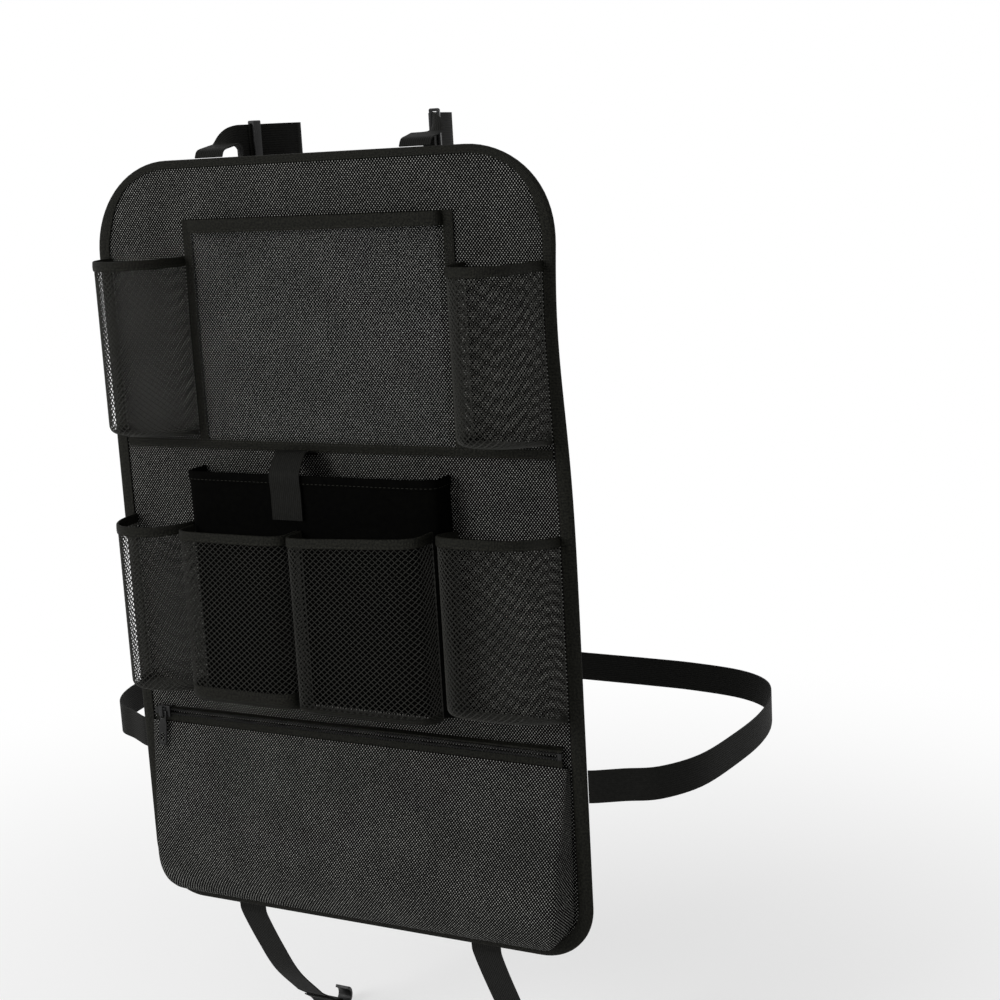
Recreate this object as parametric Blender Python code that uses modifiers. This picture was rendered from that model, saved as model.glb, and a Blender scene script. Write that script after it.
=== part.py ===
"""Organizer for the back of a car seat: a bound woven panel that carries a tablet sleeve, net pockets, a
document pocket and a zipped pocket, with straps for the seat.

Metres, +Z up. The origin is the centre of the panel's rear face. X runs to the viewer's right and the
pockets face -Y. Depths are counted outwards from the panel's front face.
"""
import math

import bmesh
import bpy
from mathutils import Matrix, Vector

MM = 0.001
GAP = 0.3 * MM
SEAM = 0.5 * MM

# Cloth, tape and film
CLOTH = 1.0 * MM
TAPE = 0.8 * MM
WEBBING = 1.3 * MM
FILM = 0.6 * MM

# Panel
PANEL_THICKNESS = 4.0 * MM
TOP_CORNER = 85.0 * MM
BOTTOM_CORNER = 52.0 * MM
BINDING_WIDTH = 12.0 * MM

# Widths, from the panel's middle outwards
SLEEVE_WIDTH = 282.0 * MM
SLEEVE_TAPE = 11.0 * MM
SIDE_BAY = 85.0 * MM
LEFT_BOTTLE_GAP = 2.0 * MM
RIGHT_BOTTLE_GAP = 8.0 * MM
EDGE_GAP = CLOTH / 2 + GAP + TAPE + SEAM
DOCUMENT_WIDTH = 262.0 * MM
DOCUMENT_SHIFT = -8.0 * MM
CAN_GAP = 6.0 * MM
FLASK_GAP = 4.0 * MM
FRONT_POCKET_INSET = 3.5 * MM
PHONE_WIDTH = 115.0 * MM
DIVIDER_GAP = 4.0 * MM
ZIP_POCKET_LEAN = 10.0 * MM

# Heights, from the panel's bottom edge upwards
ZIP_POCKET_HEIGHT = 169.3 * MM
ZIP_TAPE_HEIGHT = 6.4 * MM
ROW_GAP = 19.0 * MM
DOCUMENT_HEIGHT = 218.0 * MM
NET_LIFT = 3.0 * MM
ROW_HEIGHT = 164.5 * MM
MIDDLE_GAP = 16.2 * MM
MIDDLE_TAPE_HEIGHT = 8.5 * MM
SLEEVE_HEIGHT = 203.8 * MM
BOTTLE_LIFT = 6.0 * MM
LEFT_BOTTLE_HEIGHT = 164.5 * MM
RIGHT_BOTTLE_HEIGHT = 154.0 * MM
TOP_MARGIN = 41.2 * MM

# Depths
SLEEVE_DEPTH = 9.0 * MM
LEFT_BOTTLE_DEPTH = 53.0 * MM
RIGHT_BOTTLE_DEPTH = 66.0 * MM
CAN_DEPTH = 56.0 * MM
FLASK_DEPTH = 67.0 * MM
DOCUMENT_DEPTH = 30.0 * MM
PHONE_DEPTH = 29.0 * MM
GLASSES_DEPTH = 33.0 * MM
ZIP_POCKET_DEPTH = 30.0 * MM
ZIP_POCKET_BELLY = 44.0 * MM
NET_FLOOR = 13.0 * MM
FRONT_NET_FLOOR = 10.0 * MM
DOCUMENT_FLOOR = 8.0 * MM

# Rims
RIM_HEIGHT = 8.5 * MM
SLEEVE_RIM_HEIGHT = 12.0 * MM
HEM_HEIGHT = 9.0 * MM

# Zip
ZIP_STANDOFF = 5.0 * MM
ZIP_END_MARGIN = 5.0 * MM
CHAIN_SLOT = 1.6 * MM
CHAIN_WIDTH = 2.5 * MM
CHAIN_THICKNESS = 2.4 * MM
STOP_LENGTH = 4.0 * MM
SLIDER_LENGTH = 14.0 * MM
SLIDER_HEIGHT = 11.0 * MM
SLIDER_PLATE = 1.2 * MM
SLIDER_CLEARANCE = 0.4 * MM
BAIL_WIDTH = 1.6 * MM
BAIL_OPENING = 2.8 * MM
BAIL_BAR = 1.0 * MM
PULL_LENGTH = 33.0 * MM
PULL_WIDTH = 9.0 * MM
PULL_THICKNESS = 1.2 * MM
PULL_CORNER = 2.0 * MM
PULL_SHOULDER = 4.0 * MM
PULL_EYE_WIDTH = 4.0 * MM
PULL_EYE_LENGTH = 7.0 * MM
PULL_EYE_WALL = 1.5 * MM
PULL_PIN = 1.4 * MM
GRIP_WALL = 2.2 * MM
GRIP_MARGIN = 4.0 * MM
GRIP_LENGTH = 8.0 * MM
PULL_LEAN = math.radians(9.0)

# Straps and their fittings
STRAP_WIDTH = 30.0 * MM
DOCUMENT_STRAP_WIDTH = 32.0 * MM
DOCUMENT_STRAP_X = -28.0 * MM
DOCUMENT_STRAP_LENGTH = 41.0 * MM
DOCUMENT_STRAP_ARCH = 4.0 * MM
DOCUMENT_STRAP_BEND = 5.0 * MM
DOCUMENT_STRAP_BULGE = 1.0 * MM
TOP_STRAP_X = 107.0 * MM
TOP_STRAP_SHIFT = 26.0 * MM
TOP_STRAP_RUN = 96.0 * MM
TOP_STRAP_RISE = 13.0 * MM
TOP_STRAP_SLANT = math.radians(22.0)
TOP_STRAP_TAIL = 12.0 * MM
TOP_STRAP_LEAD = 22.0 * MM
POST_LOOP_RADIUS = 9.0 * MM
KEEPER_LENGTH = 8.0 * MM
KEEPER_WALL = 2.5 * MM
KEEPER_PLAY = 0.8 * MM
SIDE_STRAP_HEIGHT = 166.0 * MM
SIDE_STRAP_REACH = 93.0 * MM
SIDE_STRAP_RUN = 330.0 * MM
SIDE_STRAP_TAIL = 26.0 * MM
BOTTOM_STRAP_X = 130.0 * MM
BOTTOM_STRAP_DROP = 160.0 * MM
BOTTOM_STRAP_RUN = 118.0 * MM
BOTTOM_STRAP_TAIL = 14.0 * MM
FITTING_WALL = 4.0 * MM
FITTING_THICKNESS = 3.2 * MM
FITTING_SLOT = 8.0 * MM
FITTING_PLAY = 0.8 * MM
EYE_RADIUS = 0.71 * FITTING_THICKNESS + WEBBING / 2 + 0.5 * MM
EYE_SPACING = WEBBING + 0.6 * MM
BUCKLE_LENGTH = 34.0 * MM
BUCKLE_THICKNESS = 9.0 * MM
BUCKLE_WALL = 1.8 * MM
HOOK_WIDTH = 16.0 * MM
HOOK_RADIUS = 9.0 * MM
HOOK_SHANK = 10.0 * MM

# The straps' courses between their two ends. Top: shares of its shift, run and rise. Bottom: shares of its
# run and drop. Side: first millimetres out from the panel's edge and back, then millimetres in from the
# strap's widest place and the share of its run.
TOP_STRAP_COURSE = ((0.0, 0.021, 0.45), (0.02, 0.125, 0.65), (0.077, 0.271, 0.85))
BOTTOM_STRAP_COURSE = ((0.008, 0.075), (0.186, 0.325), (0.398, 0.581), (0.712, 0.838))
SIDE_STRAP_START = ((7.0, 1.0), (28.0, 13.0))
SIDE_STRAP_COURSE = ((36.0, 0.085), (13.0, 0.206), (3.0, 0.4), (0.0, 0.58), (7.0, 0.74), (26.0, 0.88),
                     (62.0, 0.96), (120.0, 0.994), (180.0, 1.0))

# Detail of the shapes
CORNER_STEPS = 8
EYE_STEPS = 8
POCKET_POWER_ROUND = 2.3
POCKET_POWER_FLASK = 3.0
POCKET_POWER_BOX = 6.0
DOCUMENT_POWER = 12.0
SLEEVE_POWER = 9.0
ZIP_POCKET_POWER = 14.0
FLOOR_POWER = 2.4
STRAND_SHARE = 0.35

# Places that follow from the sizes above
SIDE_OUTER = SLEEVE_WIDTH / 2 + SIDE_BAY
HALF_WIDTH = SIDE_OUTER + EDGE_GAP + BINDING_WIDTH
ZIP_BLOCK = 2 * (ZIP_TAPE_HEIGHT + CHAIN_WIDTH + GAP) + CHAIN_SLOT
PANEL_HEIGHT = (BINDING_WIDTH + EDGE_GAP + ZIP_POCKET_HEIGHT + GAP + ZIP_BLOCK + ROW_GAP + DOCUMENT_HEIGHT
                + MIDDLE_GAP + MIDDLE_TAPE_HEIGHT + SLEEVE_HEIGHT + TOP_MARGIN + BINDING_WIDTH)
HALF_HEIGHT = PANEL_HEIGHT / 2
BINDING_OUT = GAP + TAPE
FRONT = -PANEL_THICKNESS
ZIP_BOTTOM = -HALF_HEIGHT + BINDING_WIDTH + EDGE_GAP
ZIP_TOP = ZIP_BOTTOM + ZIP_POCKET_HEIGHT
ZIP_Z = ZIP_TOP + GAP + ZIP_BLOCK / 2
DOCUMENT_BOTTOM = ZIP_TOP + GAP + ZIP_BLOCK + ROW_GAP
DOCUMENT_TOP = DOCUMENT_BOTTOM + DOCUMENT_HEIGHT
ROW_BOTTOM = DOCUMENT_BOTTOM + NET_LIFT
MIDDLE_BOTTOM = DOCUMENT_TOP + MIDDLE_GAP
MIDDLE_TOP = MIDDLE_BOTTOM + MIDDLE_TAPE_HEIGHT
SLEEVE_TOP = MIDDLE_TOP + SLEEVE_HEIGHT
BOTTLE_BOTTOM = MIDDLE_TOP + BOTTLE_LIFT
DOCUMENT_LEFT = DOCUMENT_SHIFT - DOCUMENT_WIDTH / 2
DOCUMENT_RIGHT = DOCUMENT_SHIFT + DOCUMENT_WIDTH / 2

MATERIALS = {
    "woven_polyester": ((0.030, 0.030, 0.030), 0.85, 0.0),
    "grosgrain_tape": ((0.012, 0.012, 0.011), 0.60, 0.0),
    "plain_polyester": ((0.010, 0.010, 0.010), 0.75, 0.0),
    "polyester_net": ((0.010, 0.010, 0.010), 0.55, 0.0),
    "clear_film": ((0.750, 0.780, 0.800), 0.10, 0.0),
    "webbing": ((0.016, 0.016, 0.016), 0.75, 0.0),
    "nylon_coil": ((0.014, 0.014, 0.014), 0.40, 0.0),
    "enamelled_zinc": ((0.018, 0.018, 0.018), 0.35, 0.6),
    "acetal": ((0.014, 0.014, 0.014), 0.45, 0.0),
}


def clear_scene():
    """Removes whatever the scene holds."""
    for item in list(bpy.data.objects):
        bpy.data.objects.remove(item, do_unlink=True)


def make_materials():
    """Returns one Principled material for each finish."""
    made = {}
    for name, (colour, roughness, metallic) in MATERIALS.items():
        material = bpy.data.materials.new(name)
        material.use_nodes = True
        shader = material.node_tree.nodes["Principled BSDF"]
        shader.inputs["Base Color"].default_value = (*colour, 1.0)
        shader.inputs["Roughness"].default_value = roughness
        shader.inputs["Metallic"].default_value = metallic
        made[name] = material
    return made


def make_collection(name):
    """Adds a collection to the scene."""
    collection = bpy.data.collections.new(name)
    bpy.context.scene.collection.children.link(collection)
    return collection


def even_chain(points, count):
    """Returns count points at even steps along a chain of points."""
    lengths = [0.0]
    for first, second in zip(points, points[1:]):
        lengths.append(lengths[-1] + (second - first).length)
    chain = []
    index = 0
    for number in range(count):
        target = lengths[-1] * number / (count - 1)
        while index < len(points) - 2 and lengths[index + 1] < target:
            index += 1
        span = lengths[index + 1] - lengths[index]
        share = (target - lengths[index]) / span if span else 0.0
        chain.append(points[index].lerp(points[index + 1], share))
    return chain


def smooth_chain(points, steps):
    """Returns a Catmull-Rom curve through the points, with steps parts between two of them."""
    ends = [points[0] * 2 - points[1], *points, points[-1] * 2 - points[-2]]
    chain = []
    for before, start, end, after in zip(ends, ends[1:], ends[2:], ends[3:]):
        for number in range(steps):
            t = number / steps
            chain.append(0.5 * (2 * start + (end - before) * t
                                + (2 * before - 5 * start + 4 * end - after) * t ** 2
                                + (3 * start - before - 3 * end + after) * t ** 3))
    chain.append(points[-1].copy())
    return chain


def panel_outline(inset):
    """Returns the panel's outline, moved inwards by inset, as (x, z) points."""
    half_width = HALF_WIDTH - inset
    half_height = HALF_HEIGHT - inset
    corners = ((1, 1, TOP_CORNER, 0), (-1, 1, TOP_CORNER, 90), (-1, -1, BOTTOM_CORNER, 180),
               (1, -1, BOTTOM_CORNER, 270))
    points = []
    for side, level, radius, start in corners:
        radius -= inset
        centre = Vector((side * (half_width - radius), level * (half_height - radius)))
        for step in range(CORNER_STEPS + 1):
            angle = math.radians(start + 90 * step / CORNER_STEPS)
            points.append(centre + radius * Vector((math.cos(angle), math.sin(angle))))
    return points


def panel_half_width(z, inset):
    """Returns the half width of the inset panel outline at height z, in its lower half."""
    radius = BOTTOM_CORNER - inset
    drop = max(0.0, (inset - HALF_HEIGHT + radius) - z)
    return HALF_WIDTH - inset - radius + math.sqrt(max(0.0, radius ** 2 - min(drop, radius) ** 2))


class Maker:
    """Makes the named pieces, each with its material, in one collection."""

    def __init__(self):
        self.pieces = make_collection("car_seat_organizer")
        self.cutters = make_collection("cutters")
        self.materials = make_materials()

    def piece(self, name, mesh, material):
        """Adds a mesh as a named piece."""
        item = bpy.data.objects.new(name, mesh)
        self.pieces.objects.link(item)
        mesh.materials.clear()
        mesh.materials.append(self.materials[material])
        return item

    def thicken(self, item, thickness):
        """Gives an open surface its wall, half to each side."""
        wall = item.modifiers.new("wall", "SOLIDIFY")
        wall.thickness = thickness
        wall.offset = 0.0
        wall.use_even_offset = True
        wall.use_quality_normals = True
        return item

    def sheet(self, name, rows, thickness, material, closed=False):
        """Adds a sheet whose surface runs through rows of points."""
        bm = bmesh.new()
        lines = [[bm.verts.new(point) for point in row] for row in rows]
        for low, high in zip(lines, lines[1:]):
            last = len(low) if closed else len(low) - 1
            for i in range(last):
                j = (i + 1) % len(low)
                bm.faces.new((low[i], low[j], high[j], high[i]))
        bmesh.ops.remove_doubles(bm, verts=bm.verts, dist=0.02 * MM)
        bmesh.ops.recalc_face_normals(bm, faces=bm.faces)
        mesh = bpy.data.meshes.new(name)
        bm.to_mesh(mesh)
        bm.free()
        item = self.thicken(self.piece(name, mesh, material), thickness)
        mesh.shade_smooth()
        mesh.set_sharp_from_angle(angle=math.radians(40))
        return item

    def net(self, name, rows, thickness, material):
        """Adds a net with diamond gaps and a plain band under its rim. Its knots are every second point."""
        bm = bmesh.new()
        band = len(rows) - 2
        knots = {(i, j): bm.verts.new(point) for j, row in enumerate(rows) for i, point in enumerate(row)
                 if (i + j) % 2 == 0 or j >= band}
        for j, row in enumerate(rows[:-1]):
            for i in range(len(row)):
                if (i + j) % 2 == 0:
                    continue
                ring = ((i - 1, j), (i, j - 1), (i + 1, j), (i, j if j == band else j + 1))
                around = [knots[key] for key in ring if key in knots]
                if len(around) == 4 and 1 < j < band:
                    self.diamond(bm, around, Vector(row[i]))
                elif len(around) > 2:
                    bm.faces.new(around)
        for i in range(len(rows[0]) - 1):
            bm.faces.new((knots[i, band], knots[i + 1, band], knots[i + 1, band + 1], knots[i, band + 1]))
        bmesh.ops.remove_doubles(bm, verts=bm.verts, dist=0.02 * MM)
        bmesh.ops.recalc_face_normals(bm, faces=bm.faces)
        mesh = bpy.data.meshes.new(name)
        bm.to_mesh(mesh)
        bm.free()
        return self.thicken(self.piece(name, mesh, material), thickness)

    def diamond(self, bm, around, middle):
        """Adds the four strands round one gap of a net."""
        inner = [bm.verts.new(corner.co.lerp(middle, STRAND_SHARE)) for corner in around]
        for i in range(4):
            j = (i + 1) % 4
            bm.faces.new((around[i], around[j], inner[j], inner[i]))

    def block(self, name, size, centre, material, bevel=0.0, cutter=False):
        """Adds a box, as a piece or as a helper for a Boolean."""
        bpy.ops.mesh.primitive_cube_add(size=1.0, location=centre)
        item = bpy.context.active_object
        for owner in list(item.users_collection):
            owner.objects.unlink(item)
        item.name = name
        item.data.transform(Matrix.Diagonal((*size, 1.0)))
        item.data.materials.append(self.materials[material])
        if bevel:
            edge = item.modifiers.new("edge", "BEVEL")
            edge.width = bevel
            edge.segments = 2
        if cutter:
            self.cutters.objects.link(item)
            item.hide_render = True
            item.display_type = "WIRE"
        else:
            self.pieces.objects.link(item)
        return item

    def flat(self, name, outlines, thickness, matrix, material, cutter=False):
        """Adds a plate from closed outlines in its own XY plane. Outlines inside the first are holes."""
        curve = bpy.data.curves.new(name, "CURVE")
        curve.dimensions = "2D"
        curve.fill_mode = "BOTH"
        curve.extrude = thickness / 2
        curve.render_resolution_u = 0
        for outline in outlines:
            spline = curve.splines.new("POLY")
            spline.points.add(len(outline) - 1)
            spline.use_cyclic_u = True
            for point, place in zip(spline.points, outline):
                point.co = (place[0], place[1], 0.0, 1.0)
        source = bpy.data.objects.new(name, curve)
        bpy.context.scene.collection.objects.link(source)
        bpy.context.view_layer.update()
        graph = bpy.context.evaluated_depsgraph_get()
        mesh = bpy.data.meshes.new_from_object(source.evaluated_get(graph))
        bpy.data.objects.remove(source, do_unlink=True)
        bm = bmesh.new()
        bm.from_mesh(mesh)
        bmesh.ops.remove_doubles(bm, verts=bm.verts, dist=0.01 * MM)
        bmesh.ops.recalc_face_normals(bm, faces=bm.faces)
        bm.to_mesh(mesh)
        bm.free()
        item = self.piece(name, mesh, material)
        item.matrix_world = matrix
        if cutter:
            self.pieces.objects.unlink(item)
            self.cutters.objects.link(item)
            item.hide_render = True
            item.display_type = "WIRE"
        return item

    def combine(self, item, other, operation):
        """Joins or cuts a piece with a helper."""
        cut = item.modifiers.new(other.name, "BOOLEAN")
        cut.operation = operation
        cut.object = other
        cut.solver = "EXACT"


def rectangle(low_x, low_y, high_x, high_y, corner):
    """Returns a rectangle's outline with cut corners."""
    return [(low_x + corner, low_y), (high_x - corner, low_y), (high_x, low_y + corner),
            (high_x, high_y - corner), (high_x - corner, high_y), (low_x + corner, high_y),
            (low_x, high_y - corner), (low_x, low_y + corner)]


def pocket_section(width, depth, power, count):
    """Returns a pocket's section from one side to the other, as (share of width, share of depth)."""
    dense = []
    samples = 240
    for number in range(samples + 1):
        angle = math.pi * number / samples
        across = math.copysign(abs(math.cos(angle)) ** (2 / power), -math.cos(angle))
        out = abs(math.sin(angle)) ** (2 / power)
        dense.append(Vector((width / 2 * across, depth * out, 0.0)))
    return [(point.x / width + 0.5, point.y / depth) for point in even_chain(dense, count)]


def pocket_profile(height, depth, floor, power, count):
    """Returns a pocket's front from its seam up, as (height, share of depth). The floor curves out first."""
    dense = []
    samples = 60
    for number in range(samples + 1):
        angle = math.pi / 2 * number / samples
        rise = floor * (1 - math.cos(angle) ** (2 / power))
        out = math.sin(angle) ** (2 / power)
        dense.append(Vector((rise, depth * out, 0.0)))
    dense.append(Vector((height, depth, 0.0)))
    return [(point.x, point.y / depth) for point in even_chain(dense, count)]


def pocket_rows(left, right, bottom, height, base, depth, power, floor, columns, rows, band):
    """Returns the points of a pocket's front, from its seam up. base is the depth that it is sewn at, and
    band is the plain height under its rim."""
    section = pocket_section(right - left, depth, power, columns)
    profile = pocket_profile(height - band, depth, floor, FLOOR_POWER, rows) + [(height, 1.0)]
    sewn = FRONT - base - SEAM
    return [[Vector((left + (right - left) * across, sewn - depth * out * share, bottom + rise))
             for across, out in section] for rise, share in profile]


def rim_offset(wall):
    """Returns how far a folded tape's middle lies from the middle of the cloth inside it."""
    return wall / 2 + GAP + TAPE / 2


def rim_rows(top_row, height, wall):
    """Returns the points of a tape folded over a pocket's top edge."""
    offset = rim_offset(wall)
    leg = height - offset - TAPE / 2
    rows = []
    for side, level in ((1, -leg), (1, offset), (-1, offset), (-1, -leg)):
        row = []
        for i, point in enumerate(top_row):
            before = top_row[max(i - 1, 0)]
            after = top_row[min(i + 1, len(top_row) - 1)]
            if i in (0, len(top_row) - 1):
                direction = Vector((0.0, -1.0 if i == 0 else 1.0, 0.0))
            else:
                direction = (after - before).normalized()
            outward = direction.cross(Vector((0, 0, 1))) * -1
            row.append(point - outward * side * offset + Vector((0, 0, level)))
        rows.append(row)
    return rows


def ribbon_rows(path, sides, width):
    """Returns the two edges of a strap along a path."""
    return [[point - side * width / 2 for point, side in zip(path, sides)],
            [point + side * width / 2 for point, side in zip(path, sides)]]


def eye_lead(radius):
    """Returns how far from its bar a strap begins to turn into its eye."""
    return 4.0 * radius


def strap_eye(radius, tail, spacing):
    """Returns a strap's end that turns round a bar at the origin, as (along, across) points. It comes in
    along +X, from as far off as eye_lead() says, and its tail lies beside it."""
    lead = eye_lead(radius)
    points = [(-lead, 0.0), (-1.6 * radius, 0.72 * radius)]
    for step in range(EYE_STEPS + 1):
        angle = math.radians(100 - 200 * step / EYE_STEPS)
        points.append((radius * math.cos(angle), radius * math.sin(angle)))
    points += [(-1.7 * radius, -0.9 * radius - spacing / 2), (-lead, -spacing), (-lead - tail, -spacing)]
    return points


def make_panel(maker):
    """The stiffened woven sheet. A rebate round its back takes the binding."""
    step = TAPE + GAP
    loops = [(0.0, FRONT), (0.0, -step), (BINDING_WIDTH + GAP, -step), (BINDING_WIDTH + GAP, 0.0)]
    bm = bmesh.new()
    rings = [[bm.verts.new((x, y, z)) for x, z in panel_outline(inset)] for inset, y in loops]
    for near, far in zip(rings, rings[1:]):
        for i in range(len(near)):
            j = (i + 1) % len(near)
            bm.faces.new((near[i], near[j], far[j], far[i]))
    bm.faces.new(rings[0])
    bm.faces.new(list(reversed(rings[-1])))
    bmesh.ops.recalc_face_normals(bm, faces=bm.faces)
    mesh = bpy.data.meshes.new("back_panel")
    bm.to_mesh(mesh)
    bm.free()
    maker.piece("back_panel", mesh, "woven_polyester")


def make_binding(maker):
    """The tape folded over the panel's edge, flush with the panel's back."""
    out = GAP + TAPE / 2
    front = FRONT - out
    back = -TAPE / 2
    curve = TAPE / 2
    rows = []
    for inset, y in ((BINDING_WIDTH, front), (-out + curve, front), (-out, front + curve),
                     (-out, back - curve), (-out + curve, back), (BINDING_WIDTH, back)):
        rows.append([Vector((x, y, z)) for x, z in panel_outline(inset)])
    maker.sheet("panel_binding", rows, TAPE, "grosgrain_tape", closed=True)


def make_flat_tape(maker, name, left, right, bottom, top, base=0.0):
    """A tape sewn flat on the panel."""
    y = FRONT - base - GAP - TAPE / 2
    rows = [[Vector((x, y, z)) for x in (left, right)] for z in (bottom, top)]
    maker.sheet(name, rows, TAPE, "grosgrain_tape")


def make_tablet_sleeve(maker):
    """The clear window with its tapes. It is open at its top."""
    foot = SLEEVE_WIDTH / 2 - SLEEVE_TAPE - GAP - FILM / 2
    bottom = MIDDLE_TOP + GAP + FILM
    height = SLEEVE_TOP - bottom - rim_offset(FILM) - TAPE / 2
    rows = pocket_rows(-foot, foot, bottom, height, 0.0, SLEEVE_DEPTH, SLEEVE_POWER, SLEEVE_DEPTH * 1.2,
                       21, 8, SLEEVE_RIM_HEIGHT)
    maker.sheet("tablet_window", rows, FILM, "clear_film")
    maker.sheet("tablet_top_tape", rim_rows(rows[-1], SLEEVE_RIM_HEIGHT, FILM), TAPE, "grosgrain_tape")
    for name, side in (("tablet_left_tape", -1), ("tablet_right_tape", 1)):
        inner = side * (SLEEVE_WIDTH / 2 - SLEEVE_TAPE + 2 * GAP + FILM)
        outer = side * SLEEVE_WIDTH / 2
        make_flat_tape(maker, name, min(inner, outer), max(inner, outer), MIDDLE_TOP + GAP, SLEEVE_TOP)
    inset = BINDING_WIDTH + EDGE_GAP
    make_flat_tape(maker, "middle_tape", inset - HALF_WIDTH, HALF_WIDTH - inset, MIDDLE_BOTTOM, MIDDLE_TOP)


def make_net_pocket(maker, name, left, right, bottom, height, base, depth, power, floor, columns, rows):
    """A net pocket with a tape folded over its rim."""
    edge = height - rim_offset(CLOTH) - TAPE / 2
    points = pocket_rows(left, right, bottom, edge, base, depth, power, floor, columns, rows, RIM_HEIGHT)
    maker.net(name + "_net", points, CLOTH, "polyester_net")
    maker.sheet(name + "_rim", rim_rows(points[-1], RIM_HEIGHT, CLOTH), TAPE, "grosgrain_tape")


def make_net_pockets(maker):
    """The six net pockets: bottles above, then can, phone, glasses and flask."""
    make_net_pocket(maker, "left_bottle", -SIDE_OUTER, -SLEEVE_WIDTH / 2 - LEFT_BOTTLE_GAP, BOTTLE_BOTTOM,
                    LEFT_BOTTLE_HEIGHT, 0.0, LEFT_BOTTLE_DEPTH, POCKET_POWER_ROUND, NET_FLOOR, 13, 11)
    make_net_pocket(maker, "right_bottle", SLEEVE_WIDTH / 2 + RIGHT_BOTTLE_GAP, SIDE_OUTER, BOTTLE_BOTTOM,
                    RIGHT_BOTTLE_HEIGHT, 0.0, RIGHT_BOTTLE_DEPTH, POCKET_POWER_ROUND, NET_FLOOR, 13, 11)
    make_net_pocket(maker, "can", -SIDE_OUTER, DOCUMENT_LEFT - CAN_GAP, ROW_BOTTOM, ROW_HEIGHT, 0.0,
                    CAN_DEPTH, POCKET_POWER_ROUND, NET_FLOOR, 13, 11)
    make_net_pocket(maker, "flask", DOCUMENT_RIGHT + FLASK_GAP, SIDE_OUTER, ROW_BOTTOM, ROW_HEIGHT, 0.0,
                    FLASK_DEPTH, POCKET_POWER_FLASK, NET_FLOOR, 17, 11)
    base = SEAM + DOCUMENT_DEPTH + CLOTH / 2
    left = DOCUMENT_LEFT + FRONT_POCKET_INSET
    split = left + PHONE_WIDTH
    right = DOCUMENT_RIGHT - FRONT_POCKET_INSET
    make_net_pocket(maker, "phone", left, split, ROW_BOTTOM, ROW_HEIGHT, base, PHONE_DEPTH, POCKET_POWER_BOX,
                    FRONT_NET_FLOOR, 13, 11)
    make_net_pocket(maker, "glasses", split + DIVIDER_GAP, right, ROW_BOTTOM, ROW_HEIGHT, base,
                    GLASSES_DEPTH, POCKET_POWER_BOX, FRONT_NET_FLOOR, 15, 11)


def make_document_pocket(maker):
    """The plain pocket behind the phone and glasses pockets, with a hem and a strap over its mouth."""
    height = DOCUMENT_HEIGHT - rim_offset(CLOTH) - TAPE / 2
    rows = pocket_rows(DOCUMENT_LEFT, DOCUMENT_RIGHT, DOCUMENT_BOTTOM, height, 0.0, DOCUMENT_DEPTH,
                       DOCUMENT_POWER, DOCUMENT_FLOOR, 21, 7, HEM_HEIGHT)
    maker.sheet("document_pocket", rows, CLOTH, "plain_polyester")
    maker.sheet("document_hem", rim_rows(rows[-1], HEM_HEIGHT, CLOTH), TAPE, "grosgrain_tape")


def make_document_strap(maker):
    """The webbing over the document pocket's mouth. It leaves the middle tape and ends on the front."""
    start = GAP + WEBBING / 2
    out = SEAM + DOCUMENT_DEPTH + rim_offset(CLOTH) + TAPE / 2 + GAP + WEBBING / 2
    top = MIDDLE_BOTTOM - GAP - WEBBING
    low = DOCUMENT_TOP - DOCUMENT_STRAP_LENGTH
    arch, bend, bulge = DOCUMENT_STRAP_ARCH, DOCUMENT_STRAP_BEND, DOCUMENT_STRAP_BULGE
    places = [(start, top), (start + bend, top + arch / 2), (out * 0.6, top + arch),
              (out - bulge, DOCUMENT_TOP + bend), (out + bulge, DOCUMENT_TOP - arch),
              (out, DOCUMENT_TOP - 4 * arch), (out, low)]
    path = smooth_chain([Vector((DOCUMENT_STRAP_X, FRONT - depth, z)) for depth, z in places], 3)
    sides = [Vector((1, 0, 0))] * len(path)
    maker.sheet("document_strap", ribbon_rows(path, sides, DOCUMENT_STRAP_WIDTH), WEBBING, "webbing")


def zip_pocket_depth(z):
    """Returns the depth of the zip pocket's front at height z."""
    belly = ZIP_BOTTOM + ZIP_POCKET_BELLY
    if z >= belly:
        return ZIP_STANDOFF + (ZIP_POCKET_DEPTH - ZIP_STANDOFF) * (ZIP_TOP - z) / (ZIP_TOP - belly)
    return ZIP_POCKET_DEPTH * math.sqrt(max(0.0, 1 - ((belly - z) / ZIP_POCKET_BELLY) ** 2))


def make_zip_pocket(maker):
    """The bulging woven front below the zip. Its side gussets lean in towards the front."""
    inset = BINDING_WIDTH + EDGE_GAP
    dense = []
    samples = 80
    for number in range(samples + 1):
        z = ZIP_BOTTOM + ZIP_POCKET_HEIGHT * (number / samples) ** 2
        dense.append(Vector((zip_pocket_depth(z), z, 0.0)))
    rows = []
    for depth, z, _ in even_chain(dense, 12):
        half = panel_half_width(z, inset)
        section = pocket_section(2 * half, ZIP_POCKET_DEPTH, ZIP_POCKET_POWER, 25)
        lean = ZIP_POCKET_LEAN * depth / ZIP_POCKET_DEPTH
        rows.append([Vector(((half - lean * out) * (2 * across - 1), FRONT - SEAM - depth * out, z))
                     for across, out in section])
    maker.sheet("zip_pocket_front", rows, CLOTH, "woven_polyester")


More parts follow.
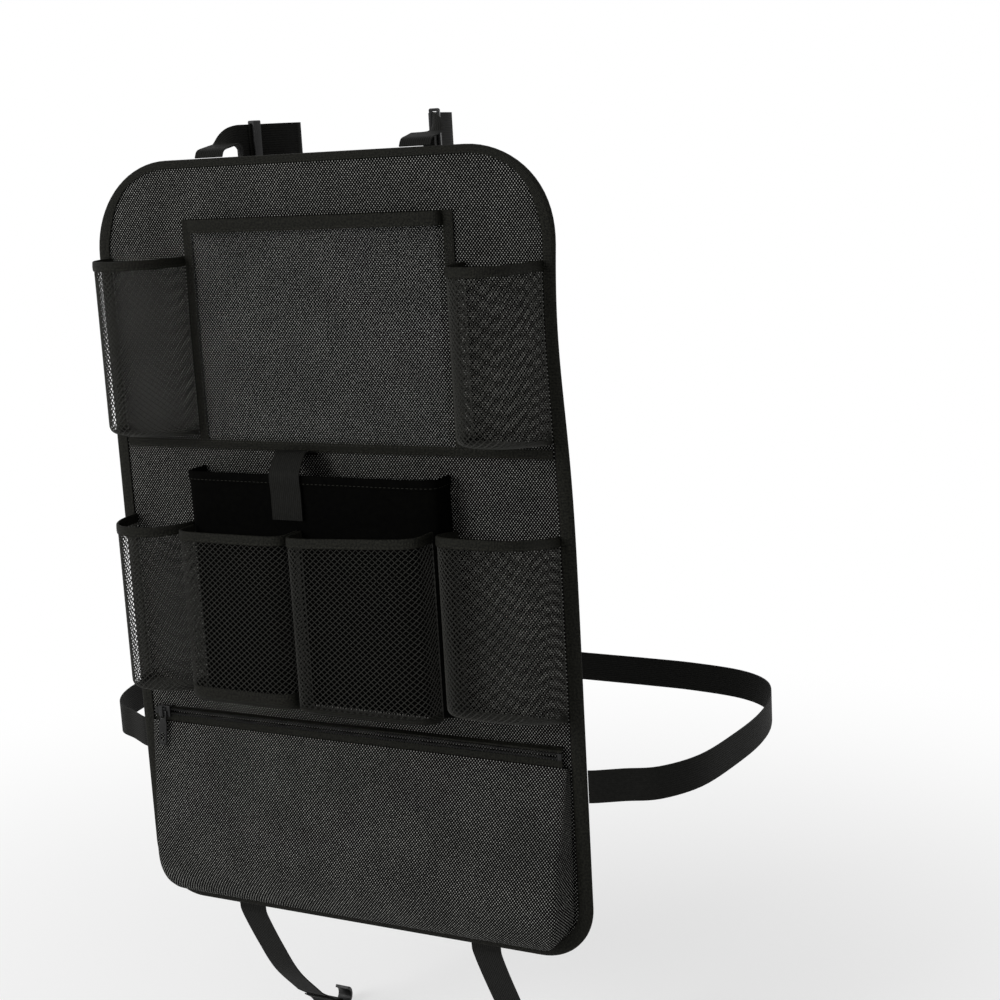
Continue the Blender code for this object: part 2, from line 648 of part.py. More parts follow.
def make_zip(maker):
    """The zip: two tapes, two chains, two end stops, the slider and its pull tab."""
    half = HALF_WIDTH - BINDING_WIDTH - EDGE_GAP - ZIP_END_MARGIN
    y = FRONT - SEAM - ZIP_STANDOFF
    slot = CHAIN_SLOT / 2
    tape = slot + CHAIN_WIDTH + GAP
    foot = FRONT - GAP - TAPE / 2
    for name, side, edge in (("upper", 1, foot), ("lower", -1, y)):
        places = [(tape, y), (tape + ZIP_TAPE_HEIGHT * 0.5, y), (tape + ZIP_TAPE_HEIGHT, edge)]
        rows = [[Vector((x, depth, ZIP_Z + side * level)) for x in (-half, half)] for level, depth in places]
        maker.sheet("zip_tape_" + name, rows, TAPE * 0.75, "grosgrain_tape")
        chain_half = half - STOP_LENGTH - GAP
        maker.block("zip_chain_" + name, (2 * chain_half, CHAIN_THICKNESS, CHAIN_WIDTH),
                    (0.0, y, ZIP_Z + side * (slot + CHAIN_WIDTH / 2)), "nylon_coil", 0.5 * MM)
        maker.block("zip_stop_" + ("right" if side == 1 else "left"),
                    (STOP_LENGTH, CHAIN_THICKNESS + 0.8 * MM, 2 * (slot + CHAIN_WIDTH)),
                    (side * (half - STOP_LENGTH / 2), y, ZIP_Z), "enamelled_zinc", 0.4 * MM)
    make_slider(maker, SLIDER_LENGTH / 2 + 2 * GAP - chain_half, y)


def make_slider(maker, x, y):
    """The slider: two plates joined by a neck, with a bail in front that carries the pull tab."""
    reach = CHAIN_THICKNESS / 2 + SLIDER_CLEARANCE
    plate = (SLIDER_LENGTH, SLIDER_PLATE, SLIDER_HEIGHT)
    middle = reach + SLIDER_PLATE / 2
    slider = maker.block("zip_slider", plate, (x, y - middle, ZIP_Z), "enamelled_zinc", 0.3 * MM)
    back = maker.block("slider_back", plate, (x, y + middle, ZIP_Z), "enamelled_zinc", cutter=True)
    neck = maker.block("slider_neck", (SLIDER_LENGTH * 0.3, 2 * middle, CHAIN_SLOT - 0.6 * MM),
                       (x + SLIDER_LENGTH * 0.25, y, ZIP_Z), "enamelled_zinc", cutter=True)
    face = y - reach - SLIDER_PLATE
    half = SLIDER_HEIGHT / 2 - 0.6 * MM
    outer = rectangle(-half, -SLIDER_PLATE / 2, half, BAIL_OPENING + BAIL_BAR, 0.6 * MM)
    hole = rectangle(-half + BAIL_BAR, 0.0, half - BAIL_BAR, BAIL_OPENING, 0.3 * MM)
    turn = Matrix(((0, 0, 1, x), (0, -1, 0, face), (1, 0, 0, ZIP_Z), (0, 0, 0, 1)))
    bail = maker.flat("slider_bail", [outer, hole], BAIL_WIDTH, turn, "enamelled_zinc", cutter=True)
    for helper in (neck, back, bail):
        maker.combine(slider, helper, "UNION")
    pivot = Vector((x, face - BAIL_OPENING / 2, ZIP_Z))
    half_pull = PULL_WIDTH / 2
    neck_half = PULL_EYE_WIDTH / 2 + PULL_EYE_WALL
    end = PULL_PIN / 2 + PULL_EYE_LENGTH
    outline = [(-neck_half, PULL_PIN / 2), (-neck_half, -end), (-half_pull, -end - PULL_SHOULDER),
               (-half_pull, -PULL_LENGTH + PULL_CORNER), (-half_pull + PULL_CORNER, -PULL_LENGTH),
               (half_pull - PULL_CORNER, -PULL_LENGTH), (half_pull, -PULL_LENGTH + PULL_CORNER),
               (half_pull, -end - PULL_SHOULDER), (neck_half, -end), (neck_half, PULL_PIN / 2)]
    eye = rectangle(-PULL_EYE_WIDTH / 2, 1 * MM - end, PULL_EYE_WIDTH / 2, -PULL_PIN / 2, 0.4 * MM)
    grip = rectangle(-half_pull + GRIP_WALL, -PULL_LENGTH + GRIP_MARGIN, half_pull - GRIP_WALL,
                     -PULL_LENGTH + GRIP_MARGIN + GRIP_LENGTH, 0.8 * MM)
    stand = Matrix.Rotation(math.radians(90) - PULL_LEAN, 4, "X")
    maker.flat("zip_pull", [outline, eye, grip], PULL_THICKNESS, Matrix.Translation(pivot) @ stand,
               "enamelled_zinc")


def make_fitting(maker, name, origin, along, across, width, material="acetal"):
    """A plastic end for a strap: a plate whose bar, at its near edge, takes the strap's eye."""
    side = across.cross(along).normalized()
    matrix = Matrix((side, along, across)).transposed().to_4x4()
    matrix.translation = origin
    half = width / 2 + FITTING_PLAY + FITTING_WALL
    bar = FITTING_THICKNESS / 2
    outer = rectangle(-half, -bar, half, bar + FITTING_SLOT + FITTING_WALL, bar / 2)
    inner = half - FITTING_WALL
    slot = rectangle(-inner, bar, inner, bar + FITTING_SLOT, bar / 4)
    return maker.flat(name, [outer, slot], FITTING_THICKNESS, matrix, material)


def place_eye(eye, origin, along, across):
    """Maps a strap's end to its place."""
    return [origin + along * a + across * b for a, b in eye]


def make_top_strap(maker, name, side):
    """A strap over the seat's shoulder that ends in a loop round a headrest post, with its keeper."""
    start = Vector((TOP_STRAP_X, 0.0, HALF_HEIGHT + BINDING_OUT + GAP))
    way = Vector((-TOP_STRAP_SHIFT, TOP_STRAP_RUN, TOP_STRAP_RISE))
    along = Vector((-math.sin(TOP_STRAP_SLANT), math.cos(TOP_STRAP_SLANT), 0.0))
    across = Vector((math.cos(TOP_STRAP_SLANT), math.sin(TOP_STRAP_SLANT), 0.0))
    centre = start + way
    reach = eye_lead(POST_LOOP_RADIUS)
    eye = place_eye(strap_eye(POST_LOOP_RADIUS, TOP_STRAP_TAIL, EYE_SPACING), centre, along, across)
    lead = [start + Vector((0.0, FRONT / 2, 0.0))]
    lead += [start + way * Vector(shares) for shares in TOP_STRAP_COURSE]
    lead = smooth_chain([*lead, centre - along * (reach + TOP_STRAP_LEAD)], 2)
    path = lead + eye
    turned = len(lead) - 2
    sides = []
    for i, _ in enumerate(path):
        share = min(1.0, max(0.0, (i - turned + 3) / 4))
        angle = share * math.pi / 2
        sides.append(Vector((math.cos(angle), 0, math.sin(angle))))
    rows = ribbon_rows(path, sides, STRAP_WIDTH)
    rows = [[Vector((side * point.x, point.y, point.z)) for point in row] for row in rows]
    maker.sheet("top_strap_" + name, rows, WEBBING, "webbing")
    half = STRAP_WIDTH / 2 + FITTING_PLAY
    deep = WEBBING + KEEPER_PLAY
    hole = rectangle(-half, -deep, half, deep, 0.2 * MM)
    wide = half + KEEPER_WALL
    ring = rectangle(-wide, -deep - KEEPER_WALL, wide, deep + KEEPER_WALL, 1 * MM)
    matrix = Matrix((Vector((0, 0, 1)), across, -along)).transposed().to_4x4()
    matrix.translation = centre - along * (reach + KEEPER_LENGTH * 0.625) - across * EYE_SPACING / 2
    if side < 0:
        matrix = Matrix.Diagonal((-1, 1, 1, 1)) @ matrix @ Matrix.Diagonal((1, 1, -1, 1))
    maker.flat("top_keeper_" + name, [ring, hole], KEEPER_LENGTH, matrix, "acetal")


def make_side_strap(maker, name, side):
    """Half of the strap round the seat, from the panel's side edge to the buckle in front of the seat."""
    z = -HALF_HEIGHT + SIDE_STRAP_HEIGHT
    edge = HALF_WIDTH + BINDING_OUT + GAP
    far = HALF_WIDTH + SIDE_STRAP_REACH
    bar = Vector((BUCKLE_LENGTH / 2 + FITTING_SLOT + FITTING_THICKNESS / 2, SIDE_STRAP_RUN, z))
    eye = strap_eye(EYE_RADIUS, SIDE_STRAP_TAIL, EYE_SPACING)
    eye = place_eye(eye, bar, Vector((-1, 0, 0)), Vector((0, 1, 0)))
    places = [(edge, FRONT / 2), *((edge + out * MM, back * MM) for out, back in SIDE_STRAP_START),
              *((far - inwards * MM, SIDE_STRAP_RUN * share) for inwards, share in SIDE_STRAP_COURSE)]
    path = smooth_chain([Vector((x, y, z)) for x, y in places], 2) + eye
    rows = ribbon_rows(path, [Vector((0, 0, 1))] * len(path), STRAP_WIDTH)
    rows = [[Vector((side * point.x, point.y, point.z)) for point in row] for row in rows]
    maker.sheet("side_strap_" + name, rows, WEBBING, "webbing")
    return Vector((side * bar.x, bar.y, bar.z))


def make_buckle(maker, plug_bar, socket_bar):
    """The side-release buckle: a socket and a plug, each with a slotted bar for its strap."""
    centre = (plug_bar + socket_bar) / 2
    half = STRAP_WIDTH / 2 + FITTING_PLAY + FITTING_WALL
    across = Vector((0, 1, 0))
    socket = make_fitting(maker, "buckle_socket", socket_bar, Vector((-1, 0, 0)), across, STRAP_WIDTH)
    plug = make_fitting(maker, "buckle_plug", plug_bar, Vector((1, 0, 0)), across, STRAP_WIDTH)
    plate = BUCKLE_LENGTH / 2 - FITTING_WALL
    mouth = -plate + GAP
    root = plate + FITTING_WALL / 2
    bore = BUCKLE_THICKNESS - 2 * BUCKLE_WALL

    def helper(name, low, high, thickness, height, z=0.0):
        place = centre + Vector(((low + high) / 2, 0, z))
        return maker.block(name, (high - low, thickness, height), place, "acetal", cutter=True)

    shell = helper("socket_shell", mouth, root, BUCKLE_THICKNESS, 2 * half)
    inner = 2 * (half - BUCKLE_WALL)
    cavity = helper("socket_cavity", mouth - BUCKLE_WALL, root - FITTING_WALL, bore, inner)
    window = helper("socket_window", mouth + 2 * BUCKLE_WALL, root - 2 * FITTING_WALL, bore,
                    2 * half + FITTING_WALL)
    maker.combine(socket, shell, "UNION")
    maker.combine(socket, cavity, "DIFFERENCE")
    maker.combine(socket, window, "DIFFERENCE")
    reach = root - FITTING_WALL - BUCKLE_WALL
    arm = FITTING_WALL
    side = half - BUCKLE_WALL - GAP - arm / 2
    for label, z, height in (("upper", side, arm), ("lower", -side, arm), ("middle", 0.0, 1.5 * arm)):
        prong = helper("plug_arm_" + label, -plate - FITTING_WALL / 2, reach, bore - 2 * GAP, height, z)
        maker.combine(plug, prong, "UNION")


def make_bottom_strap(maker, name, side):
    """A strap that runs back under the seat and ends in an eye round a hook's bar."""
    start = -HALF_HEIGHT - BINDING_OUT - GAP
    x = side * BOTTOM_STRAP_X
    end = Vector((x, BOTTOM_STRAP_RUN, start - BOTTOM_STRAP_DROP))
    lead = [Vector((x, FRONT / 2, start))]
    lead += [Vector((x, BOTTOM_STRAP_RUN * back, start - BOTTOM_STRAP_DROP * down))
             for back, down in BOTTOM_STRAP_COURSE]
    along = (end - lead[-1]).normalized()
    across = Vector((1, 0, 0)).cross(along).normalized()
    eye = place_eye(strap_eye(EYE_RADIUS, BOTTOM_STRAP_TAIL, EYE_SPACING), end, along, across)
    path = smooth_chain(lead, 2) + eye
    sides = [Vector((1, 0, 0))] * len(path)
    maker.sheet("bottom_strap_" + name, ribbon_rows(path, sides, STRAP_WIDTH), WEBBING, "webbing")
    hook = make_fitting(maker, "strap_hook_" + name, end, along, across, STRAP_WIDTH)
    root = FITTING_THICKNESS / 2 + FITTING_SLOT + FITTING_WALL / 2
    turn = root + HOOK_SHANK
    curve = [(root, 0.0), (turn, 0.0)]
    for step in range(EYE_STEPS + 1):
        angle = math.radians(-90 + 200 * step / EYE_STEPS)
        curve.append((turn + HOOK_RADIUS * math.cos(angle), HOOK_RADIUS + HOOK_RADIUS * math.sin(angle)))
    path = place_eye(curve, end, along, across)
    claw = maker.sheet("hook_claw_" + name, ribbon_rows(path, [Vector((1, 0, 0))] * len(path), HOOK_WIDTH),
                       FITTING_THICKNESS, "acetal")
    maker.pieces.objects.unlink(claw)
    maker.cutters.objects.link(claw)
    claw.hide_render = True
    claw.display_type = "WIRE"
    maker.combine(hook, claw, "UNION")


def main():
    """Builds the organizer."""
    clear_scene()
    maker = Maker()
    make_panel(maker)
    make_binding(maker)
    make_tablet_sleeve(maker)
    make_net_pockets(maker)
    make_document_pocket(maker)
    make_document_strap(maker)
    make_zip_pocket(maker)
    make_zip(maker)
    bars = {}
    for name, side in (("left", -1), ("right", 1)):
        make_top_strap(maker, name, side)
        bars[name] = make_side_strap(maker, name, side)
        make_bottom_strap(maker, name, side)
    make_buckle(maker, bars["left"], bars["right"])


main()
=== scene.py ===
"""Looks of the car seat organizer: bound woven panel, clear tablet sleeve, net pockets, document pocket,
zipped pocket and straps. Metres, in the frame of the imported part.
"""
import math

import bmesh
import bpy
from mathutils import Matrix, Vector


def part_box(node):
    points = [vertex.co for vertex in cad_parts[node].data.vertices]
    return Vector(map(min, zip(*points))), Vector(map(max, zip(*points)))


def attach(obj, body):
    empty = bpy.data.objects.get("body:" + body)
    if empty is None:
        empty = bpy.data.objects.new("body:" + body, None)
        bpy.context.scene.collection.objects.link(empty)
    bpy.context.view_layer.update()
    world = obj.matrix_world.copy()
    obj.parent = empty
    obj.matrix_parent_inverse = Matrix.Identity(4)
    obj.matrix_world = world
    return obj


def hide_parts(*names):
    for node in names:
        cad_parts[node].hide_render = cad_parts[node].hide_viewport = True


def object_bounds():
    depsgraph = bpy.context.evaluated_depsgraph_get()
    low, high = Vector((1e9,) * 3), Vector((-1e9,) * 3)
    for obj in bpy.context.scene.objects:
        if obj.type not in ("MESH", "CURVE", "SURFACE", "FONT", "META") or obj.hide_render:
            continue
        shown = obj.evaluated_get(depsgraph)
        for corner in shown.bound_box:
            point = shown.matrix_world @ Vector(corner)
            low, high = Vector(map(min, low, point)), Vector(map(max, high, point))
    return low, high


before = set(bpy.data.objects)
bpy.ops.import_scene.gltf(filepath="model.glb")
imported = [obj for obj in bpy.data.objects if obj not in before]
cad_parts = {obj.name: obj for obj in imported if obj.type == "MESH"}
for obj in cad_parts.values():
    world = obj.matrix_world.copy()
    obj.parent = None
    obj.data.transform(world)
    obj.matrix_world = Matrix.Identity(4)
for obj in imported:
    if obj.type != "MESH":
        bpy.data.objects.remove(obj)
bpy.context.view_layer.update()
panel_low, panel_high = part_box("back_panel")

MM = 0.001
HALF_WIDTH = panel_high.x
HALF_HEIGHT = panel_high.z
FRONT = panel_low.y

# Camera of the photograph
FRAME_PIXELS = 1000
CAMERA_PLACE = Vector((0.862, -1.332, 0.358))
CAMERA_RIGHT = Vector((0.89073, 0.45120, -0.05416))
CAMERA_UP = Vector((-0.04131, 0.19908, 0.97909))
CAMERA_BACK = Vector((0.45257, -0.86987, 0.19598))
CAMERA_FOCAL_PIXELS = 1766
SENSOR_WIDTH = 36.0

# Light: name, place, size and power of each lamp, and how strongly the world lights the left and right side
LAMPS = (("key", (-1.3, -2.4, 0.9), 1.2, 44.0), ("fill", (2.2, -1.6, 0.6), 1.6, 3.0))
WORLD_LEFT = 0.9
WORLD_RIGHT = 0.2

# Floor: between the two distances, the share of plain white in it goes from the first value to the second
FLOOR_SIZE = 30.0
FLOOR_DROP = 1.0 * MM
FLOOR_FADE = (0.3, 1.5)
FLOOR_PLAIN = (0.5, 1.0)

# Cloth, tape and thread
CLOTH = 1.0 * MM
TAPE = 0.8 * MM
WEBBING = 1.3 * MM
FILM = 0.6 * MM
GAP = 0.3 * MM
THREAD = 0.55 * MM
STITCH_LENGTH = 3.2 * MM
STITCH_PITCH = 4.4 * MM
STITCH_INSET = 1.8 * MM
STITCH_LIFT = 0.1 * MM
SMALLEST_SHEET = 10.5 * MM
WELD = 0.01 * MM
CLOTH_SMOOTHING = math.radians(50)

# Weave and net
FLECK_WIDTH = 2.92 * MM
FLECK_HEIGHT = 3.44 * MM
NET_CELL_WIDTH = 6.3 * MM
NET_CELL_HEIGHT = 5.5 * MM
NET_STRAND = 1.1 * MM

# Panel. Its grid's rows crowd towards its top and bottom.
TOP_CORNER = 85.0 * MM
BOTTOM_CORNER = 52.0 * MM
CORNER_STEPS = 18
OUTLINE_STEP = 10.0 * MM
PANEL_COLUMNS = 96
PANEL_ROWS = 144
PANEL_CROWDING = 0.35
PANEL_EDGE_INSET = 1.5 * MM
PANEL_WAVE = 0.9 * MM
PANEL_WAVE_LENGTH = 22.0 * MM

# Binding: its width, its crown as (share of width, share of crown), how far its turn tucks in, where its back
# edge is pressed flat, and the share of it that shows along the panel's top, with the heights of that change
BINDING_WIDTH = 12.0 * MM
BINDING_CROWN = 0.5 * MM
BINDING_CROWN_SHAPE = ((1.0, 0.0), (0.8, 0.6), (0.5, 1.0), (0.2, 0.6))
BINDING_TUCK = 0.95
BINDING_BACK = 0.4
BINDING_TURN = 0.55
BINDING_TURN_BELOW = 60.0 * MM
BINDING_TURN_REACH = 50.0 * MM

# The panel's right edge, drawn in: how far, at what height, and its reach up and down and inwards
EDGE_BOW = 8.0 * MM
EDGE_BOW_HEIGHT = 215.0 * MM
EDGE_BOW_REACH = 110.0 * MM
EDGE_BOW_MARGIN = 60.0 * MM

# Pockets: how square each section is, how high its floor curves, how far its right end and its front are
# lifted, and how high its plain foot is
ROUND_POWER = 2.3
FLASK_POWER = 3.0
BOX_POWER = 6.0
NET_POCKETS = {
    "left_bottle": (ROUND_POWER, 13.0 * MM, 0.0, 0.0, 0.0),
    "right_bottle": (ROUND_POWER, 13.0 * MM, 0.0, 0.0, 0.0),
    "can": (ROUND_POWER, 13.0 * MM, 0.0, 0.0, 0.0),
    "flask": (FLASK_POWER, 13.0 * MM, 0.0, 10.0 * MM, 0.0),
    "phone": (BOX_POWER, 10.0 * MM, 0.0, 0.0, 20.0 * MM),
    "glasses": (BOX_POWER, 10.0 * MM, 6.0 * MM, 0.0, 12.0 * MM),
}
FLOOR_POWER = 2.4
SECTION_SAMPLES = 360
PROFILE_SAMPLES = 60
GIRTH_SAMPLES = 80
RIM_COLUMNS = 73
RIM_ROWS = 60
MOUTH_DROP = 0.5 * MM
RIM_HEIGHT = 8.5 * MM
RIM_CLEARANCE = 0.2 * MM
RIM_CROWN = 0.25 * MM

# Document pocket and tablet sleeve. Their fronts are slack only within a margin behind the foremost place.
# Each grid is its columns and its rows.
DOCUMENT_GRID = (101, 48)
DOCUMENT_POWER = 12.0
DOCUMENT_FLOOR = 8.0 * MM
DOCUMENT_SLACK = 0.5 * MM
DOCUMENT_SLACK_LENGTH = 17.0 * MM
DOCUMENT_SLACK_MARGIN = 6.0 * MM
HEM_HEIGHT = 9.0 * MM
SLEEVE_GRID = (121, 60)
SLEEVE_POWER = 9.0
SLEEVE_FLOOR = 10.0 * MM
SLEEVE_SLACK = 0.6 * MM
SLEEVE_SLACK_LENGTH = 30.0 * MM
SLEEVE_SLACK_MARGIN = 2.0 * MM
SLEEVE_RIM_HEIGHT = 12.0 * MM
FLAT_TAPE_CROWN = 0.35 * MM
FLAT_TAPE_ROWS = 8
FLAT_TAPE_STEP = 8.0 * MM
FLAT_STITCH_LIFT = 0.3 * MM

# Zip pocket and zip. The upper tape's top edge lies hidden by the first width at its left end and by the
# second at its right end.
ZIP_STANDOFF = 5.0 * MM
ZIP_POCKET_SAMPLES = 160
ZIP_POCKET_COLUMNS = 161
ZIP_POCKET_ROWS = 72
ZIP_POCKET_BELLY = 44.0 * MM
ZIP_POCKET_SAG = 8.0 * MM
ZIP_POCKET_LEAN = 10.0 * MM
ZIP_POCKET_POWER = 36.0
ZIP_POCKET_CREASE = 0.7 * MM
ZIP_POCKET_CREASE_LENGTH = 19.0 * MM
ZIP_TAPE_HIDDEN = (7.0 * MM, 3.0 * MM)
ZIP_TAPE_INSET = TAPE * 0.4
ZIP_TAPE_THICKNESS = TAPE * 0.75
ZIP_TAPE_STEPS = 60
COIL_PITCH = 1.4 * MM
COIL_WIRE = 0.35 * MM
COIL_DEPTH = 0.75 * MM
COIL_HEIGHT = 0.9 * MM
COIL_SIDES = 8

# Straps, and the hard parts that they turn round
STRAP_WIDTH = 30.0 * MM
RIBBON_STEPS = 6
FITTING_THICKNESS = 3.2 * MM
FITTING_SLOT = 8.0 * MM
BUCKLE_LENGTH = 34.0 * MM
EYE_RADIUS = 0.71 * FITTING_THICKNESS + WEBBING / 2 + 0.5 * MM
EYE_SPACING = WEBBING + 0.6 * MM
EYE_TURN = 100
EYE_STEPS = 16

# Where a strap bends into its eye and out of it, as (along, across) in radii of the eye
EYE_LEAD = 4.0
EYE_ENTRY = (1.6, 0.72)
EYE_EXIT = (1.7, 0.9)

# Document strap
DOCUMENT_STRAP_ARCH = 4.0 * MM
DOCUMENT_STRAP_BEND = 5.0 * MM
DOCUMENT_STRAP_BULGE = 1.0 * MM

# Top straps. The course is (inwards, back, share of the rise). The twist starts that many points before the
# eye and is that many points long.
TOP_STRAP_X = 107.0 * MM
TOP_STRAP_RUN = 96.0 * MM
TOP_STRAP_RISE = 13.0 * MM
TOP_STRAP_SHIFT = 26.0 * MM
TOP_STRAP_SLANT = math.radians(22)
TOP_STRAP_TAIL = 12.0 * MM
TOP_STRAP_LEAD = 22.0 * MM
TOP_STRAP_COURSE = ((0.0, 2.0 * MM, 0.45), (0.5 * MM, 12.0 * MM, 0.65), (2.0 * MM, 26.0 * MM, 0.85))
TOP_STRAP_TWIST_BEFORE = 16
TOP_STRAP_TWIST_LENGTH = 14
POST_LOOP_RADIUS = 9.0 * MM

# Side straps. The start is (out from the panel's edge, back), and the course is (in from the far side, back),
# both in millimetres.
SIDE_STRAP_HEIGHT = 166.0 * MM
SIDE_STRAP_REACH = 93.0 * MM
SIDE_STRAP_RUN = 330.0 * MM
SIDE_STRAP_TAIL = 26.0 * MM
SIDE_STRAP_START = ((7, 1), (28, 13))
SIDE_STRAP_COURSE = ((36, 28), (13, 68), (3, 132), (0, 191.4), (7, 244.2), (26, 290.4), (62, 316.8),
                     (120, 328), (180, 330))

# Bottom straps. The course is (back, down), in millimetres.
BOTTOM_STRAP_X = 130.0 * MM
BOTTOM_STRAP_DROP = 160.0 * MM
BOTTOM_STRAP_RUN = 118.0 * MM
BOTTOM_STRAP_TAIL = 14.0 * MM
BOTTOM_STRAP_COURSE = ((1, 12), (22, 52), (47, 93), (84, 134))

# Rounded edges of the hard parts
BEVEL_SEGMENTS = 3
BEVEL_ANGLE = math.radians(35)
FLAT_ANGLE = math.radians(1.5)
HARD_SMOOTHING = math.radians(40)


def linear(code):
    """Turns an sRGB hex colour into linear red, green, blue and alpha."""
    values = []
    for start in (0, 2, 4):
        value = int(code[start:start + 2], 16) / 255
        values.append(value / 12.92 if value <= 0.04045 else ((value + 0.055) / 1.055) ** 2.4)
    return (*values, 1.0)


def add(tree, kind, inputs=None, **settings):
    """Adds a node with its settings, and its values or links by input."""
    made = tree.nodes.new(kind)
    for key, value in settings.items():
        setattr(made, key, value)
    for key, value in (inputs or {}).items():
        if isinstance(value, bpy.types.NodeSocket):
            tree.links.new(value, made.inputs[key])
        else:
            made.inputs[key].default_value = value
    return made


def calculate(tree, operation, *values):
    """Returns the result of one operation on values or sockets."""
    return add(tree, "ShaderNodeMath", dict(enumerate(values)), operation=operation).outputs[0]


def start_material(name, roughness, gloss):
    """Starts a material, and returns it with its tree and shader. gloss is its specular level."""
    material = bpy.data.materials.new(name)
    material.use_nodes = True
    tree = material.node_tree
    shader = tree.nodes["Principled BSDF"]
    shader.inputs["Roughness"].default_value = roughness
    shader.inputs["Specular IOR Level"].default_value = gloss
    return material, tree, shader


def cloth_axes(tree):
    """Returns the place on the cloth and its lengths along and up the cloth, in metres."""
    place = add(tree, "ShaderNodeUVMap", uv_map="UVMap").outputs[0]
    parts = add(tree, "ShaderNodeSeparateXYZ", {0: place}).outputs
    return place, parts[0], parts[1]


def object_place(tree):
    """Returns the place in the object's own axes."""
    return add(tree, "ShaderNodeTexCoord").outputs["Object"]


def wave(tree, length, pitch):
    """Returns a sine of a length, with its pitch in metres."""
    return calculate(tree, "SINE", calculate(tree, "MULTIPLY", length, 2 * math.pi / pitch))


def times(tree, first, second):
    """Returns a product."""
    return calculate(tree, "MULTIPLY", first, second)


def spread(tree, value, low, high, new_low=0.0, new_high=1.0):
    """Returns a value mapped from one range to another, with soft ends."""
    return add(tree, "ShaderNodeMapRange", {0: value, 1: low, 2: high, 3: new_low, 4: new_high},
               interpolation_type="SMOOTHSTEP").outputs[0]


def mottle(tree, place, size, detail=3.0):
    """Returns noise whose blotches are about size metres wide."""
    noise = add(tree, "ShaderNodeTexNoise", {"Vector": place, "Scale": 1.0 / size, "Detail": detail})
    return noise.outputs[0]


def finish_surface(tree, shader, low, high, share, height, depth):
    """Colours a shader between two hex colours, and gives it relief."""
    colour = add(tree, "ShaderNodeMix", {0: share, 6: linear(low), 7: linear(high)}, data_type="RGBA")
    tree.links.new(colour.outputs[2], shader.inputs["Base Color"])
    relief = add(tree, "ShaderNodeBump", {"Strength": 1.0, "Distance": depth, "Height": height})
    tree.links.new(relief.outputs[0], shader.inputs["Normal"])


def woven_polyester():
    """Coarse polyester weave, matt: black yarn with a pale fleck where the thicker yarn comes up. The flecks
    repeat every 2.9 mm along the weave and every 3.4 mm up it, each second one staggered."""
    material, tree, shader = start_material("woven_polyester", roughness=0.85, gloss=0.03)
    place, along, up = cloth_axes(tree)
    fleck = times(tree, wave(tree, along, FLECK_WIDTH), wave(tree, up, FLECK_HEIGHT))
    shown = spread(tree, fleck, 0.3, 0.85)
    uneven = spread(tree, mottle(tree, place, 2.2 * MM), 0.3, 0.7, 0.35, 1.0)
    patchy = spread(tree, mottle(tree, place, 45 * MM, 1.0), 0.3, 0.7, 0.8, 1.0)
    share = times(tree, shown, times(tree, uneven, patchy))
    finish_surface(tree, shader, "020202", "afafaa", share, fleck, 0.3 * MM)
    return material


def grosgrain_tape():
    """Ribbed polyester tape, near black with a faint olive cast. Ribs run across it 1.3 mm apart."""
    material, tree, shader = start_material("grosgrain_tape", roughness=0.62, gloss=0.07)
    place, along, _ = cloth_axes(tree)
    rib = wave(tree, along, 1.3 * MM)
    fuzz = spread(tree, mottle(tree, place, 1.8 * MM), 0.3, 0.7)
    share = calculate(tree, "MULTIPLY_ADD", rib, 0.35, fuzz)
    finish_surface(tree, shader, "050504", "1f1f1a", share, rib, 0.12 * MM)
    return material


def plain_polyester():
    """Fine plain-woven lining cloth, matt, with threads 0.9 mm apart. Its near-black colour is the cloth's
    own black, darkened further by painted shade from inside the pocket.
    """
    material, tree, shader = start_material("plain_polyester", roughness=0.8, gloss=0.01)
    place, along, up = cloth_axes(tree)
    weave = times(tree, wave(tree, along, 0.9 * MM), wave(tree, up, 0.9 * MM))
    share = calculate(tree, "MULTIPLY_ADD", weave, 0.12, mottle(tree, place, 6 * MM))
    # Colours: the cloth's own black, darkened further by painted shade from inside the pocket
    finish_surface(tree, shader, "020202", "080807", share, weave, 0.08 * MM)
    return material


def webbing():
    """Polypropylene webbing, black and matt, with lengthwise ribs 2.1 mm apart crossed by fine weft."""
    material, tree, shader = start_material("webbing", roughness=0.66, gloss=0.06)
    place, along, up = cloth_axes(tree)
    rib = wave(tree, up, 2.1 * MM)
    weave = times(tree, rib, wave(tree, along, 1.2 * MM))
    share = calculate(tree, "MULTIPLY_ADD", weave, 0.25, mottle(tree, place, 3 * MM))
    finish_surface(tree, shader, "090908", "1b1b19", share, rib, 0.15 * MM)
    return material


def clear_film():
    """Clear flexible vinyl film, so clear that only its soft highlights show."""
    material, tree, shader = start_material("clear_film", roughness=0.1, gloss=0.5)
    shader.inputs["Alpha"].default_value = 0.05
    shader.inputs["Base Color"].default_value = linear("3a3b3c")
    height = mottle(tree, cloth_axes(tree)[0], 60 * MM)
    relief = add(tree, "ShaderNodeBump", {"Strength": 0.4, "Distance": 0.5 * MM, "Height": height})
    tree.links.new(relief.outputs[0], shader.inputs["Normal"])
    return material


def grained(name, low, high, roughness, grain, gloss=0.3, depth=0.04 * MM):
    """A finish with a fine grain, from one hex colour to another."""
    material, tree, shader = start_material(name, roughness, gloss)
    fuzz = mottle(tree, object_place(tree), grain)
    finish_surface(tree, shader, low, high, fuzz, fuzz, depth)
    return material


